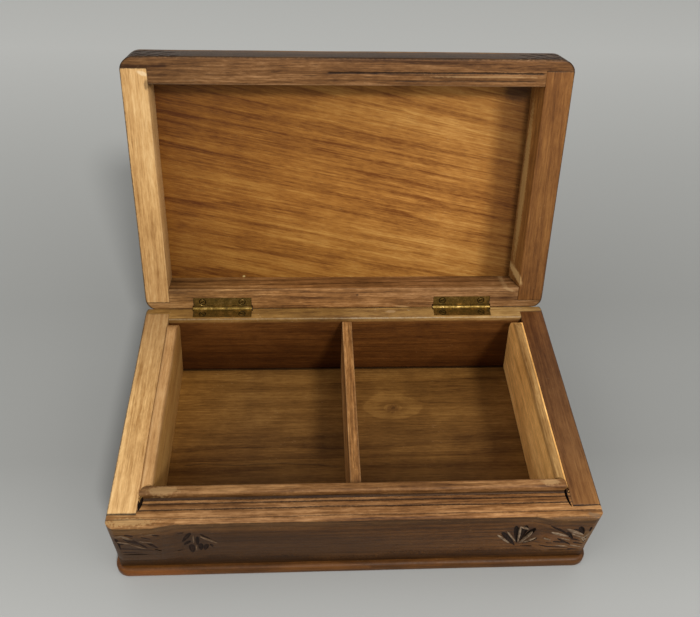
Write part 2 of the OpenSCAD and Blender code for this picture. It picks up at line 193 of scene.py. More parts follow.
class Graph:
    """The node tree of one material."""

    def __init__(self, name: str) -> None:
        """Makes an empty material.

        Args:
            name: The material's name.
        """
        self.material = bpy.data.materials.new(name)
        self.material.use_nodes = True
        self.tree = self.material.node_tree
        self.tree.nodes.clear()

    def node(
        self,
        kind: str,
        settings: Mapping[str, object] | None = None,
        inputs: Mapping[int | str, Feed] | None = None,
    ) -> bpy.types.Node:
        """Adds a node, sets it up and then feeds its sockets.

        Args:
            kind: The node's type.
            settings: Its settings; "stops" fills a colour ramp.
            inputs: What each socket gets, by index or name.

        Returns:
            The node.
        """
        made = self.tree.nodes.new(kind)
        for key, setting in (settings or {}).items():
            if key == "stops":
                self._fill_ramp(made.color_ramp, setting)
            else:
                setattr(made, key, setting)
        for key, feed in (inputs or {}).items():
            if isinstance(feed, Value):
                self.tree.links.new(feed.socket, made.inputs[key])
            else:
                made.inputs[key].default_value = feed
        return made

    @staticmethod
    def _fill_ramp(ramp: bpy.types.ColorRamp, stops: Sequence[tuple[float, Rgb]]) -> None:
        """Gives a colour ramp its stops."""
        while len(ramp.elements) < len(stops):
            ramp.elements.new(1.0)
        for element, (place, colour) in zip(ramp.elements, stops):
            element.position = place
            element.color = (*colour, 1.0)

    def value(
        self,
        kind: str,
        settings: Mapping[str, object] | None = None,
        inputs: Mapping[int | str, Feed] | None = None,
        output: int | str = 0,
    ) -> Value:
        """Adds a node and returns one of its outputs as a value."""
        return Value(self, self.node(kind, settings, inputs).outputs[output])

    def smooth(self, low: float, high: float, of: Value) -> Value:
        """Eases from 0 at low to 1 at high.

        Args:
            low: Where the result is 0.
            high: Where the result is 1; it may be the lower number.
            of: The value to ease.

        Returns:
            The eased value.
        """
        if low > high:
            return 1.0 - self.smooth(high, low, of)
        return self.value(
            "ShaderNodeMapRange",
            {"interpolation_type": "SMOOTHSTEP"},
            {0: of, 1: low, 2: high, 3: 0.0, 4: 1.0},
        )

    def stretch(self, vector: Value, by: Point) -> Value:
        """Multiplies a vector part by part."""
        return self.value("ShaderNodeVectorMath", {"operation": "MULTIPLY"}, {0: vector, 1: by})

    def noise(self, vector: Value, by: Point, detail: float = 2.0, rough: float = 0.5, bend: float = 0.0) -> Value:
        """Noise of the given frequency along each axis, about 0.5 in the middle."""
        return self.value(
            "ShaderNodeTexNoise",
            None,
            {"Vector": self.stretch(vector, by), "Scale": 1.0, "Detail": detail, "Roughness": rough, "Distortion": bend},
        )

    def mix(self, amount: Feed, first: Feed, second: Feed, blend: str = "MIX") -> Value:
        """Mixes two colours."""
        feeds = [feed if isinstance(feed, Value) else (*feed, 1.0) for feed in (first, second)]
        return self.value(
            "ShaderNodeMix",
            {"data_type": "RGBA", "blend_type": blend, "clamp_factor": True},
            {0: amount, 6: feeds[0], 7: feeds[1]},
            2,
        )

    def ramp(self, of: Value, stops: Sequence[tuple[float, Rgb]]) -> Value:
        """A colour from a value."""
        return self.value("ShaderNodeValToRGB", {"stops": stops}, {0: of})

    def parts(self, vector: Value) -> tuple[Value, Value, Value]:
        """The three parts of a vector."""
        made = self.node("ShaderNodeSeparateXYZ", None, {0: vector})
        return Value(self, made.outputs[0]), Value(self, made.outputs[1]), Value(self, made.outputs[2])

    def vector(self, x: Feed, y: Feed, z: Feed) -> Value:
        """A vector from its three parts."""
        return self.value("ShaderNodeCombineXYZ", None, {0: x, 1: y, 2: z})

    def place(self, side: Side) -> Value:
        """The point on the piece in millimetres, with the lid as if closed."""
        here = self.value("ShaderNodeTexCoord", None, None, "Object")
        here = self.stretch(here, (1000.0, 1000.0, 1000.0))
        if side is Side.LID:
            hinge = (0.0, SIZES.axis_y, SIZES.axis_z)
            here = self.value("ShaderNodeVectorMath", {"operation": "SUBTRACT"}, {0: here, 1: hinge})
            here = self.value(
                "ShaderNodeMapping",
                {"vector_type": "POINT"},
                {0: here, 1: hinge, 2: (math.radians(SIZES.lid_open), 0.0, 0.0)},
            )
        return here

    def finish(self, colour: Feed, rough: Feed, height: Value | None, relief: float, **extra: Feed) -> bpy.types.Material:
        """Closes the graph with one Principled shader.

        Args:
            colour: The base colour.
            rough: The roughness.
            height: The surface's height in millimetres, for the bumps.
            relief: How strongly the bumps show.
            **extra: More sockets of the shader, with spaces written as underscores.

        Returns:
            The material.
        """
        feeds: dict[int | str, Feed] = {"Base Color": colour, "Roughness": rough, "Specular IOR Level": 0.16}
        feeds.update({key.replace("_", " "): feed for key, feed in extra.items()})
        if height is not None:
            feeds["Normal"] = self.value("ShaderNodeBump", None, {"Strength": relief, "Distance": MM, "Height": height})
        if not isinstance(colour, Value):
            feeds["Base Color"] = (*colour, 1.0)
        shader = self.node("ShaderNodeBsdfPrincipled", None, feeds)
        out = self.node("ShaderNodeOutputMaterial")
        self.tree.links.new(shader.outputs[0], out.inputs[0])
        return self.material


# ---- Finishes ----


@dataclass(frozen=True)
class Timber:
    """The look of one kind of wood."""

    dark: Rgb
    mid: Rgb
    light: Rgb
    ring_gap: float = 3.0
    ring_show: float = 0.35
    streak_show: float = 0.5
    fibre_show: float = 0.35
    pore_show: float = 0.35
    rough: float = 0.5
    fine: float = 1.0


WALNUT = Timber(srgb(66, 38, 16), srgb(122, 83, 46), srgb(172, 128, 84), 2.6, 0.35, 0.55, 0.55, 0.5, 0.55)
REDDISH = Timber(srgb(76, 42, 18), srgb(116, 74, 38), srgb(146, 100, 56), 5.0, 0.2, 0.4, 0.45, 0.4, 0.5)
GOLDEN = Timber(srgb(150, 106, 56), srgb(200, 155, 98), srgb(230, 190, 132), 3.0, 0.15, 0.3, 0.5, 0.3, 0.56)
OAKEN = Timber(srgb(118, 78, 34), srgb(160, 118, 66), srgb(198, 156, 98), 3.4, 0.2, 0.35, 0.5, 0.3, 0.56)
HONEY = Timber(srgb(106, 58, 16), srgb(156, 102, 44), srgb(186, 134, 70), 5.5, 0.3, 0.55, 0.5, 0.35, 0.5, 2.0)
FLOOR = Timber(srgb(58, 33, 8), srgb(102, 69, 31), srgb(138, 100, 52), 6.5, 0.3, 0.22, 0.4, 0.3, 0.55, 1.3)
INNER = Timber(srgb(54, 27, 8), srgb(92, 56, 22), srgb(124, 82, 40), 6.0, 0.2, 0.3, 0.45, 0.35, 0.55, 1.4)

STAIN = srgb(64, 42, 20)
# Dark joints and dirt; also painted shade in the corners of the lid's recess.
GRIME_AND_SHADE = srgb(24, 12, 6)
# The next two colours paint the shade in the carved hollows.
CARVING_SHADE_DEEP = srgb(22, 13, 9)
CARVING_SHADE_PALE = srgb(50, 34, 24)
RUBBED = srgb(146, 124, 100)
WORN = srgb(176, 140, 96)



@dataclass(frozen=True)
class Knot:
    """A knot, at a place along and across the grain, in millimetres."""

    along: float
    across: float
    radius: float = 5.0
    push: float = 7.0


@dataclass(frozen=True)
class Seam:
    """A dark line in the plane where the axis has this value: a joint, or a hard line of the grain."""

    axis: Axis
    at: float
    width: float = 0.55
    show: float = 0.85
    sway: float = 0.0
    over: tuple[float, float] | None = None


@dataclass(frozen=True)
class Mark:
    """A small oval mark: a nail scar, a chip, a rubbed or a darkened place, or a patch of painted shade or light, in
    millimetres.

    It is seen from above, or from the front if it is upright. It shows only above the height `over` and below the
    height `under`, if they are given.
    """

    at: tuple[float, float]
    long: float
    wide: float
    colour: Rgb
    angle: float = 0.0
    show: float = 0.8
    rag: float = 0.8
    upright: bool = False
    over: float | None = None
    under: float | None = None


@dataclass(frozen=True)
class Outline:
    """The rounded outline of the box seen from above, whose outside is stained."""

    front: float
    rear: float
    radius: float
    half_w: float = 102.0
    colour: Rgb = STAIN
    hold: float = 0.88
    rough: float = 0.42

    def depth(self, graph: Graph, x: Value, y: Value) -> Value:
        """How far a place lies beyond a line just inside the outline.

        Args:
            graph: The material's graph.
            x: The place's first coordinate in millimetres.
            y: Its second coordinate.

        Returns:
            The distance, in millimetres.
        """
        middle = (self.front + self.rear) / 2.0
        side = (abs(x) - (self.half_w - self.radius)).most(0.0)
        end = (abs(y - middle) - ((self.rear - self.front) / 2.0 - self.radius)).most(0.0)
        return (side * side + end * end).root() - (self.radius - 0.7)


@dataclass(frozen=True)
class Stained:
    """A stained outside, where the axis lies beyond a value on the side of sign."""

    axis: Axis
    beyond: float
    sign: int
    colour: Rgb = STAIN
    hold: float = 0.86
    rough: float = 0.42


@dataclass(frozen=True)
class Fade:
    """A slow change of tone along an axis, at times painted light and shade: tints at places in millimetres, perhaps
    only under a height.
    """

    axis: Axis
    stops: tuple[tuple[float, Rgb], ...]
    under: float | None = None


@dataclass(frozen=True)
class Cut:
    """How a board was cut from its tree: the way its grain runs and where the pith lay."""

    grain: Axis = Axis.X
    tilt: float = 0.0
    pith: tuple[float, float] = (40.0, -60.0)
    seed: float = 0.0
    wander: float = 4.0


@dataclass(frozen=True)
class BoardFinish:
    """The finish of one board: its timber, cut, joints, stain and wear, and light and shade painted on it.

    The box is the board's lowest and highest corner in millimetres, the lid as if closed.
    """

    timber: Timber
    cut: Cut
    box: tuple[Point, Point]
    seams: tuple[Seam, ...] = ()
    stained: tuple[Stained, ...] = ()
    outline: Outline | None = None
    marks: tuple[Mark, ...] = ()
    knots: tuple[Knot, ...] = ()
    fades: tuple[Fade, ...] = ()
    wear: float = 0.5
    scratches: float = 0.25

    def _grain_place(self, graph: Graph, here: Value) -> Value:
        """The place with its first part along the grain and the next two across it."""
        cut = self.cut
        x, y, z = graph.parts(here)
        order = {Axis.X: (x, y, z), Axis.Y: (y, x, z), Axis.Z: (z, x, y)}[cut.grain]
        shifted = graph.vector(order[0] + cut.seed * 37.0, order[1], order[2])
        return graph.value("ShaderNodeMapping", {"vector_type": "POINT"}, {0: shifted, 2: (0.0, 0.0, math.radians(cut.tilt))})

    def _rings(self, graph: Graph, grain: Value) -> Value:
        """Growth rings where the board's faces cut them, 0 to 1."""
        cut, timber = self.cut, self.timber
        along, across, deep = graph.parts(grain)
        warp = graph.noise(grain, (0.006, 0.03, 0.03), 2.0) - 0.5
        fine = graph.noise(grain, (0.02, 0.16, 0.16), 2.0) - 0.5
        side, down = across - cut.pith[0], deep - cut.pith[1]
        radius = (side * side + down * down).root() + warp * (cut.wander * 4.0) + fine * cut.wander * 0.6
        for knot in self.knots:
            off = along - (knot.along + cut.seed * 37.0)
            level = across - knot.across
            away = ((off * off * 0.35) + level * level).root() / knot.radius
            radius = radius + away.falloff() * knot.push
        spread = graph.noise(grain, (0.0, 0.05, 0.05), 1.0) * 1.5
        phase = (radius / timber.ring_gap + spread).fraction()
        return graph.smooth(0.35, 0.9, phase) * graph.smooth(1.0, 0.93, phase)

    def _edges(self, graph: Graph, here: Value, rub: Value) -> Value:
        """How near the point is to an edge of the board, 0 to 1."""
        low, high = self.box
        gaps: list[Value] = []
        for part, lowest, highest in zip(graph.parts(here), low, high):
            half, middle = (highest - lowest) / 2, (highest + lowest) / 2
            gaps.append((half - abs(part - middle)).most(0.0))
        total = gaps[0] + gaps[1] + gaps[2]
        least = gaps[0].least(gaps[1]).least(gaps[2])
        most = gaps[0].most(gaps[1]).most(gaps[2])
        between = total - least - most
        return graph.smooth(1.5, 0.1, between + rub * 1.3)

    def _seam_lines(self, graph: Graph, here: Value, rag: Value) -> Value | None:
        """The dark joint lines and the hard lines of the grain."""
        parts = graph.parts(here)
        lines: Value | None = None
        for index, seam in enumerate(self.seams):
            place = parts[seam.axis.value]
            if seam.sway > 0:
                slow = graph.noise(here, (0.022, 0.022, 0.0), 2.0, 0.5) - 0.5
                place = place + slow * (seam.sway * (2.0 if index % 2 else 2.6))
            gap = abs(place - seam.at) + (rag - 0.5) * 0.7
            line = graph.smooth(seam.width, seam.width * 0.3, gap) * seam.show
            if seam.over is not None:
                other = parts[Axis.Y.value if seam.axis is Axis.X else Axis.X.value]
                line = line * graph.smooth(seam.over[0] - 1.0, seam.over[0] + 1.0, other)
                line = line * graph.smooth(seam.over[1] + 1.0, seam.over[1] - 1.0, other)
            lines = line if lines is None else lines.most(line)
        return lines

    def _fade(self, graph: Graph, here: Value, colour: Value) -> Value:
        """Tints the colour slowly along the board."""
        parts = graph.parts(here)
        for fade in self.fades:
            low, high = fade.stops[0][0], fade.stops[-1][0]
            along = (parts[fade.axis.value] - low) / (high - low)
            top = max(max(tint) for _, tint in fade.stops)
            stops = [((at - low) / (high - low), tuple(part / top for part in tint)) for at, tint in fade.stops]
            tinted = graph.mix(1.0, colour, graph.ramp(along, stops), "MULTIPLY")
            tinted = graph.value("ShaderNodeVectorMath", {"operation": "SCALE"}, {0: tinted, "Scale": top})
            if fade.under is None:
                colour = tinted
            else:
                colour = graph.mix(graph.smooth(fade.under, fade.under - 0.5, parts[2]), colour, tinted)
        return colour

    def build(self, name: str, side: Side) -> bpy.types.Material:
        """Makes the material.

        Args:
            name: The material's name.
            side: The body the board is on.

        Returns:
            The finished material.
        """
        graph, timber = Graph(name), self.timber
        here = graph.place(side)
        grain = self._grain_place(graph, here)
        rings = self._rings(graph, grain)
        across = timber.fine * 0.2
        streak = graph.noise(grain, (0.012, across, across), 3.0, 0.55, 0.3)
        band = graph.noise(grain, (0.004, 0.045, 0.045), 2.0)
        fibre = graph.noise(grain, (0.05, 1.5, 1.5), 3.0, 0.6)
        fleck = graph.noise(grain, (0.13, 2.4, 2.4), 2.0, 0.5)
        dash = graph.noise(grain, (0.22, 1.0, 1.0), 3.0, 0.7)
        mottle = graph.noise(here, (0.07, 0.07, 0.07), 3.0, 0.55)
        cloud = graph.noise(grain, (0.009, 0.032, 0.032), 2.0, 0.5)
        scuff = graph.noise(here, (0.9, 0.9, 0.9), 3.0, 0.6)
        tone = (
            0.54
            + (streak - 0.5) * (timber.streak_show * 1.5)
            + (cloud - 0.5) * 0.75
            + (band - 0.5) * (timber.streak_show * 1.1)
            + (fibre - 0.5) * (timber.fibre_show * 1.6)
            + (dash - 0.5) * (timber.fibre_show * 1.2)
            + (mottle - 0.5) * 0.4
            - rings * timber.ring_show * 0.5
        )
        colour = graph.ramp(tone, [(0.1, timber.dark), (0.5, timber.mid), (0.88, timber.light)])
        pores = graph.smooth(0.59, 0.72, fleck) * timber.pore_show
        colour = graph.mix(pores * 0.8, colour, tuple(part * 0.35 for part in timber.dark))
        edge = self._edges(graph, here, scuff)
        rubbed = graph.mix(0.5, timber.light, (0.5, 0.36, 0.22))
        colour = graph.mix(edge * (scuff * 0.9 + 0.1) * self.wear, colour, rubbed)
        rough: Value = (scuff - 0.5) * 0.25 + (fibre - 0.5) * 0.12 + timber.rough
        parts = graph.parts(here)
        zones = [((parts[zone.axis.value] - zone.beyond) * float(zone.sign), zone) for zone in self.stained]
        if self.outline is not None:
            zones.append((self.outline.depth(graph, parts[0], parts[1]), self.outline))
        for depth, zone in zones:
            inside = graph.smooth(-0.25, 0.55, depth + (scuff - 0.5) * 0.9)
            tint = graph.mix(graph.smooth(0.25, 0.75, tone), tuple(part * 0.45 for part in zone.colour), zone.colour)
            worn = graph.smooth(0.58, 0.8, scuff * 0.5 + streak * 0.5) * 0.2
            colour = graph.mix(inside * (zone.hold - worn - edge * 0.25 * self.wear), colour, tint)
            rough = rough + inside * (zone.rough - timber.rough)
        if self.scratches > 0:
            slant = graph.value("ShaderNodeMapping", {"vector_type": "POINT"}, {0: here, 2: (0.3, 0.2, 0.55)})
            mark = graph.smooth(0.7, 0.76, graph.noise(slant, (0.05, 1.9, 1.9), 1.0, 0.4))
            mark = mark * graph.smooth(0.5, 0.62, mottle) * self.scratches
            colour = graph.mix(mark, colour, rubbed)
        for mark in self.marks:
            cos, sin = math.cos(math.radians(mark.angle)), math.sin(math.radians(mark.angle))
            u, v = parts[0] - mark.at[0], parts[2 if mark.upright else 1] - mark.at[1]
            along, aside = (u * cos + v * sin) / mark.long, (v * cos - u * sin) / mark.wide
            away = (along * along + aside * aside).root() + (scuff - 0.5) * mark.rag
            spot = graph.smooth(1.0, 0.5, away) * mark.show
            if mark.over is not None:
                spot = spot * graph.smooth(mark.over, mark.over + 0.5, parts[2])
            if mark.under is not None:
                spot = spot * graph.smooth(mark.under, mark.under - 0.5, parts[2])
            colour = graph.mix(spot, colour, mark.colour)
        lines = self._seam_lines(graph, here, scuff)
        if lines is not None:
            colour = graph.mix(lines, colour, GRIME_AND_SHADE)
        colour = self._fade(graph, here, colour)
        height = (fibre - 0.5) * 0.1 - pores * 0.09 + (scuff - 0.5) * 0.06 - rings * 0.02
        if lines is not None:
            height = height - lines * 0.3
        return graph.finish(colour, rough, height, 0.8)


@dataclass(frozen=True)
class CutFinish:
    """Wood laid bare by the carver's tools: hollows in painted shade, or rubbed ridges."""

    dark: Rgb
    light: Rgb
    rough: float = 0.6

    def build(self, name: str, side: Side) -> bpy.types.Material:
        """Makes the material.

        Args:
            name: The material's name.
            side: The body it is used on.

        Returns:
            The finished material.
        """
        graph = Graph(name)
        here = graph.place(side)
        cloud = graph.noise(here, (0.4, 0.4, 0.4), 3.0, 0.6)
        fibre = graph.noise(here, (0.08, 1.6, 1.6), 3.0, 0.6)
        tone = graph.smooth(0.25, 0.75, cloud * 0.6 + fibre * 0.4)
        colour = graph.mix(tone, self.dark, self.light)
        height = (fibre - 0.5) * 0.12 + (cloud - 0.5) * 0.08
        return graph.finish(colour, (cloud - 0.5) * 0.2 + self.rough, height, 0.8)


@dataclass(frozen=True)
class BrassFinish:
    """Old brass, tarnished brown in some patches and rubbed bright in others."""

    bright: Rgb = srgb(190, 156, 92)
    dull: Rgb = srgb(122, 96, 44)
    tarnish: Rgb = srgb(58, 42, 16)
    rough: float = 0.4
    screws: tuple[tuple[float, float], ...] = ()

    def build(self, name: str, side: Side) -> bpy.types.Material:
        """Makes the material.

        Args:
            name: The material's name.
            side: The body it is used on.

        Returns:
            The finished material.
        """
        graph = Graph(name)
        here = graph.place(side)
        cloud = graph.noise(here, (0.35, 0.35, 0.35), 3.0, 0.6)
        speck = graph.noise(here, (2.2, 2.2, 2.2), 3.0, 0.6)
        brushed = graph.noise(here, (0.2, 6.0, 6.0), 2.0, 0.5)
        tone = cloud * 0.7 + speck * 0.45 + (brushed - 0.5) * 0.25 - 0.08
        colour = graph.ramp(tone, [(0.3, self.tarnish), (0.5, self.dull), (0.75, self.bright)])
        rough = self.rough + (0.6 - tone) * 0.5
        metal = graph.smooth(0.28, 0.48, tone) * 0.55 + 0.4
        height = (speck - 0.5) * 0.06 + (brushed - 0.5) * 0.03
        x, y, _ = graph.parts(here)
        for at_x, at_y in self.screws:
            off_x, off_y = x - at_x, y - at_y
            ring = abs((off_x * off_x + off_y * off_y).root() - 1.6)
            slot = abs(off_x * 0.6 + off_y * 0.8).most(abs(off_x * 0.8 - off_y * 0.6) - 1.1)
            line = graph.smooth(0.34, 0.12, ring.least(slot))
            colour = graph.mix(line * 0.9, colour, GRIME_AND_SHADE)
            height = height - line * 0.2
        return graph.finish(colour, rough, height, 0.6, Metallic=metal)


# ---- Mesh work ----


def deselect() -> None:
    """Leaves edit mode and selects nothing."""
    if bpy.context.object is not None and bpy.context.object.mode != "OBJECT":
        bpy.ops.object.mode_set(mode="OBJECT")
    bpy.ops.object.select_all(action="DESELECT")


def activate(piece: bpy.types.Object) -> None:
    """Selects one object alone and makes it active."""
    deselect()
    piece.select_set(True)
    bpy.context.view_layer.objects.active = piece


def apply_modifiers(piece: bpy.types.Object) -> None:
    """Applies every modifier of a piece in turn."""
    activate(piece)
    for modifier in list(piece.modifiers):
        bpy.ops.object.modifier_apply(modifier=modifier.name)


def lid_turn() -> Matrix:
    """The turn from the closed lid to the open one, in metres."""
    hinge = Vector((0.0, SIZES.axis_y * MM, SIZES.axis_z * MM))
    turn = Matrix.Rotation(-math.radians(SIZES.lid_open), 4, "X")
    return Matrix.Translation(hinge) @ turn @ Matrix.Translation(-hinge)


def copy_node(node: str, name: str) -> bpy.types.Object:
    """Copies a CAD node's mesh to a new piece with merged corners and whole flat faces.

    Args:
        node: The CAD node.
        name: The new piece's name.

    Returns:
        The new piece, at the origin.
    """
    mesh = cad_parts[node].data.copy()
    mesh.name = name
    mesh.materials.clear()
    piece = bpy.data.objects.new(name, mesh)
    bpy.context.scene.collection.objects.link(piece)
    activate(piece)
    if mesh.has_custom_normals:
        bpy.ops.mesh.customdata_custom_splitnormals_clear()
    bpy.ops.object.mode_set(mode="EDIT")
    bpy.ops.mesh.select_all(action="SELECT")
    bpy.ops.mesh.remove_doubles(threshold=2e-6)
    bpy.ops.mesh.dissolve_limited(angle_limit=math.radians(0.6))
    bpy.ops.object.mode_set(mode="OBJECT")
    return piece


def soften(piece: bpy.types.Object, width: float, shortest: float = 5.0, turn: float = 35.0) -> None:
    """Rounds a piece's long sharp edges.

    Args:
        piece: The piece.
        width: The bevel's width in millimetres.
        shortest: Edges shorter than this, in millimetres, stay sharp.
        turn: Edges that turn less than this, in degrees, stay as they are.
    """
    mesh = piece.data
    work = bmesh.new()
    work.from_mesh(mesh)
    weights = work.edges.layers.float.get("bevel_weight_edge") or work.edges.layers.float.new("bevel_weight_edge")
    for edge in work.edges:
        sharp = len(edge.link_faces) == 2 and edge.calc_face_angle(0.0) > math.radians(turn)
        edge[weights] = 1.0 if sharp and edge.calc_length() > shortest * MM else 0.0
    work.to_mesh(mesh)
    work.free()
    bevel = piece.modifiers.new("soften", "BEVEL")
    bevel.limit_method = "WEIGHT"
    bevel.width = width * MM
    bevel.segments = 3
    bevel.use_clamp_overlap = False
    apply_modifiers(piece)


def slice_along(piece: bpy.types.Object, axis: Axis, step: float) -> None:
    """Cuts a piece's faces across an axis at even steps, so that it can be bent a little."""
    activate(piece)
    low = min(corner[axis.value] for corner in piece.bound_box)
    high = max(corner[axis.value] for corner in piece.bound_box)
    normal = [0.0, 0.0, 0.0]
    normal[axis.value] = 1.0
    bpy.ops.object.mode_set(mode="EDIT")
    count = max(1, int((high - low) / (step * MM)))
    for index in range(1, count):
        at = [0.0, 0.0, 0.0]
        at[axis.value] = low + (high - low) * index / count
        bpy.ops.mesh.select_all(action="SELECT")
        bpy.ops.mesh.bisect(plane_co=at, plane_no=normal)
    bpy.ops.object.mode_set(mode="OBJECT")


def wave(place: Vector) -> Vector:
    """A smooth shift that is always the same at one place, each part from -1 to 1."""
    return Vector([noise.noise(place + Vector((step, 0.0, 0.0))) for step in (0.0, 31.7, 67.3)])


def hand_planed(piece: bpy.types.Object, amount: float, side: Side) -> None:
    """Shifts a piece's corners by a slow, small wave, the same for neighbouring pieces.

    Args:
        piece: The piece.
        amount: The largest shift in millimetres.
        side: The body it is on, because the lid's wave is taken with the lid closed.
    """
    turn = lid_turn() if side is Side.LID else Matrix.Identity(4)
    back = turn.inverted()
    for vertex in piece.data.vertices:
        place = back @ vertex.co
        slow = wave(place * 28.0)
        quick = wave(place * 90.0)
        shift = (slow * 0.75 + quick * 0.25) * amount * MM
        if abs(place.z) < 2 * MM:
            shift.z = 0.0
        vertex.co = turn @ (place + shift)


def triangulate(piece: bpy.types.Object) -> None:
    """Merges a piece's doubled corners and splits its faces into triangles, which stay flat."""
    activate(piece)
    bpy.ops.object.mode_set(mode="EDIT")
    bpy.ops.mesh.select_all(action="SELECT")
    bpy.ops.mesh.remove_doubles(threshold=2e-6)
    bpy.ops.mesh.quads_convert_to_tris(quad_method="BEAUTY", ngon_method="BEAUTY")
    bpy.ops.object.mode_set(mode="OBJECT")


def shade(piece: bpy.types.Object, angle: float = 28.0) -> None:
    """Shades a piece smooth, with its sharp edges and the edges between two materials kept."""
    activate(piece)
    bpy.ops.object.shade_smooth_by_angle(angle=math.radians(angle))
    kinds: dict[tuple[int, int], set[int]] = {}
    for polygon in piece.data.polygons:
        for key in polygon.edge_keys:
            kinds.setdefault(key, set()).add(polygon.material_index)
    for edge in piece.data.edges:
        if len(kinds.get(edge.key, ())) > 1:
            edge.use_edge_sharp = True


def dress(piece: bpy.types.Object, *materials: bpy.types.Material) -> None:
    """Gives a piece its materials."""
    piece.data.materials.clear()
    for material in materials:
        piece.data.materials.append(material)


@dataclass
class Board:
    """One wooden board, made from its CAD node, softened, carved, gently uneven and finished."""

    node: str
    side: Side
    finish: BoardFinish
    slot: str
    bevel: float = 0.4
    uneven: float = 0.18
    carvings: tuple["Carving", ...] = ()

    def build(self) -> bpy.types.Object:
        """Makes the board and puts it on its body.

        Returns:
            The board.
        """
        piece = copy_node(self.node, self.node + "_board")
        if self.bevel > 0:
            soften(piece, self.bevel)
        grain = self.finish.cut.grain
        slice_along(piece, grain if grain is not Axis.Y or self.side is Side.BOX else Axis.Z, 9.0)
        hand_planed(piece, self.uneven, self.side)
        dress(piece, self.finish.build(self.node + "_wood", self.side))
        if self.carvings:
            triangulate(piece)
        for tool in Tool:
            for carving in self.carvings:
                carving.cut(piece, tool)
        shade(piece)
        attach(piece, self.side.value)
        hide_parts(self.node)
        log.info("board %s: %d faces", piece.name, len(piece.data.polygons))
        return piece


# ---- Carving ----


class Tool(Enum):
    """What one stroke of the carver does."""

    GOUGE = "gouge"
    RIDGE = "ridge"


@dataclass(frozen=True)
class Stroke:
    """One cut or one ridge, from its start to its end on the face, in millimetres.

    The pinch makes the end narrower than the start: 0 for none, 1 for a point. The bend is how far the middle
    bows out to the left of the way from start to end.
    """

    start: tuple[float, float]
    end: tuple[float, float]
    width: float
    depth: float
    tool: Tool = Tool.GOUGE
    pinch: float = 0.45
    bend: float = 0.0

    def flipped(self, across: int, upward: int) -> "Stroke":
        """The stroke mirrored in the face's middle lines.

        Args:
            across: -1 to swap left and right, +1 to keep them.
            upward: -1 to swap up and down, +1 to keep them.

        Returns:
            The mirrored stroke.
        """
        start = (self.start[0] * across, self.start[1] * upward)
        end = (self.end[0] * across, self.end[1] * upward)
        return replace(self, start=start, end=end, bend=self.bend * across * upward)

    def mirrored(self) -> "Stroke":
        """The stroke on the other side of the face's upright middle line."""
        return self.flipped(-1, 1)

    def spots(self) -> list[tuple[float, float, float]]:
        """Places along the stroke with its half width there."""
        run = (self.end[0] - self.start[0], self.end[1] - self.start[1])
        length = math.hypot(*run)
        found: list[tuple[float, float, float]] = []
        for index in range(9):
            along = index / 4 - 1.0
            bow = self.bend * (1.0 - along * along) / length
            u = self.start[0] + run[0] * (along + 1.0) / 2.0 - run[1] * bow
            v = self.start[1] + run[1] * (along + 1.0) / 2.0 + run[0] * bow
            narrow = 1.0 - self.pinch * (along + 1.0) / 2.0
            found.append((u, v, self.width / 2.0 * narrow * math.sqrt(max(0.0, 1.0 - along * along)) + 0.15))
        return found

    def meets(self, other: "Stroke") -> bool:
        """Whether two strokes touch."""
        return any(
            math.hypot(a[0] - b[0], a[1] - b[1]) < a[2] + b[2] + 0.2 for a in self.spots() for b in other.spots()
        )

    def turned(self, angle: float, middle: tuple[float, float]) -> "Stroke":
        """The stroke turned about a point of the face.

        Args:
            angle: The turn in degrees.
            middle: The point.

        Returns:
            The turned stroke.
        """
        cosine, sine = math.cos(math.radians(angle)), math.sin(math.radians(angle))

        def turn(at: tuple[float, float]) -> tuple[float, float]:
            """One point, turned."""
            u, v = at[0] - middle[0], at[1] - middle[1]
            return middle[0] + u * cosine - v * sine, middle[1] + u * sine + v * cosine

        return replace(self, start=turn(self.start), end=turn(self.end))


@dataclass(frozen=True)
class Face:
    """A flat face to carve: a point on it, its sideways and upward directions, and its body."""

    origin: Point
    across: Point
    upward: Point
    side: Side

    def frame(self) -> Matrix:
        """The face's own frame in metres, with the lid turned open; its third axis points outwards."""
        across, upward = Vector(self.across).normalized(), Vector(self.upward).normalized()
        out = across.cross(upward)
        matrix = Matrix.Identity(4)
        for index, column in enumerate((across, upward, out, Vector(self.origin) * MM)):
            for row in range(3):
                matrix[row][index] = column[row]
        return lid_turn() @ matrix if self.side is Side.LID else matrix


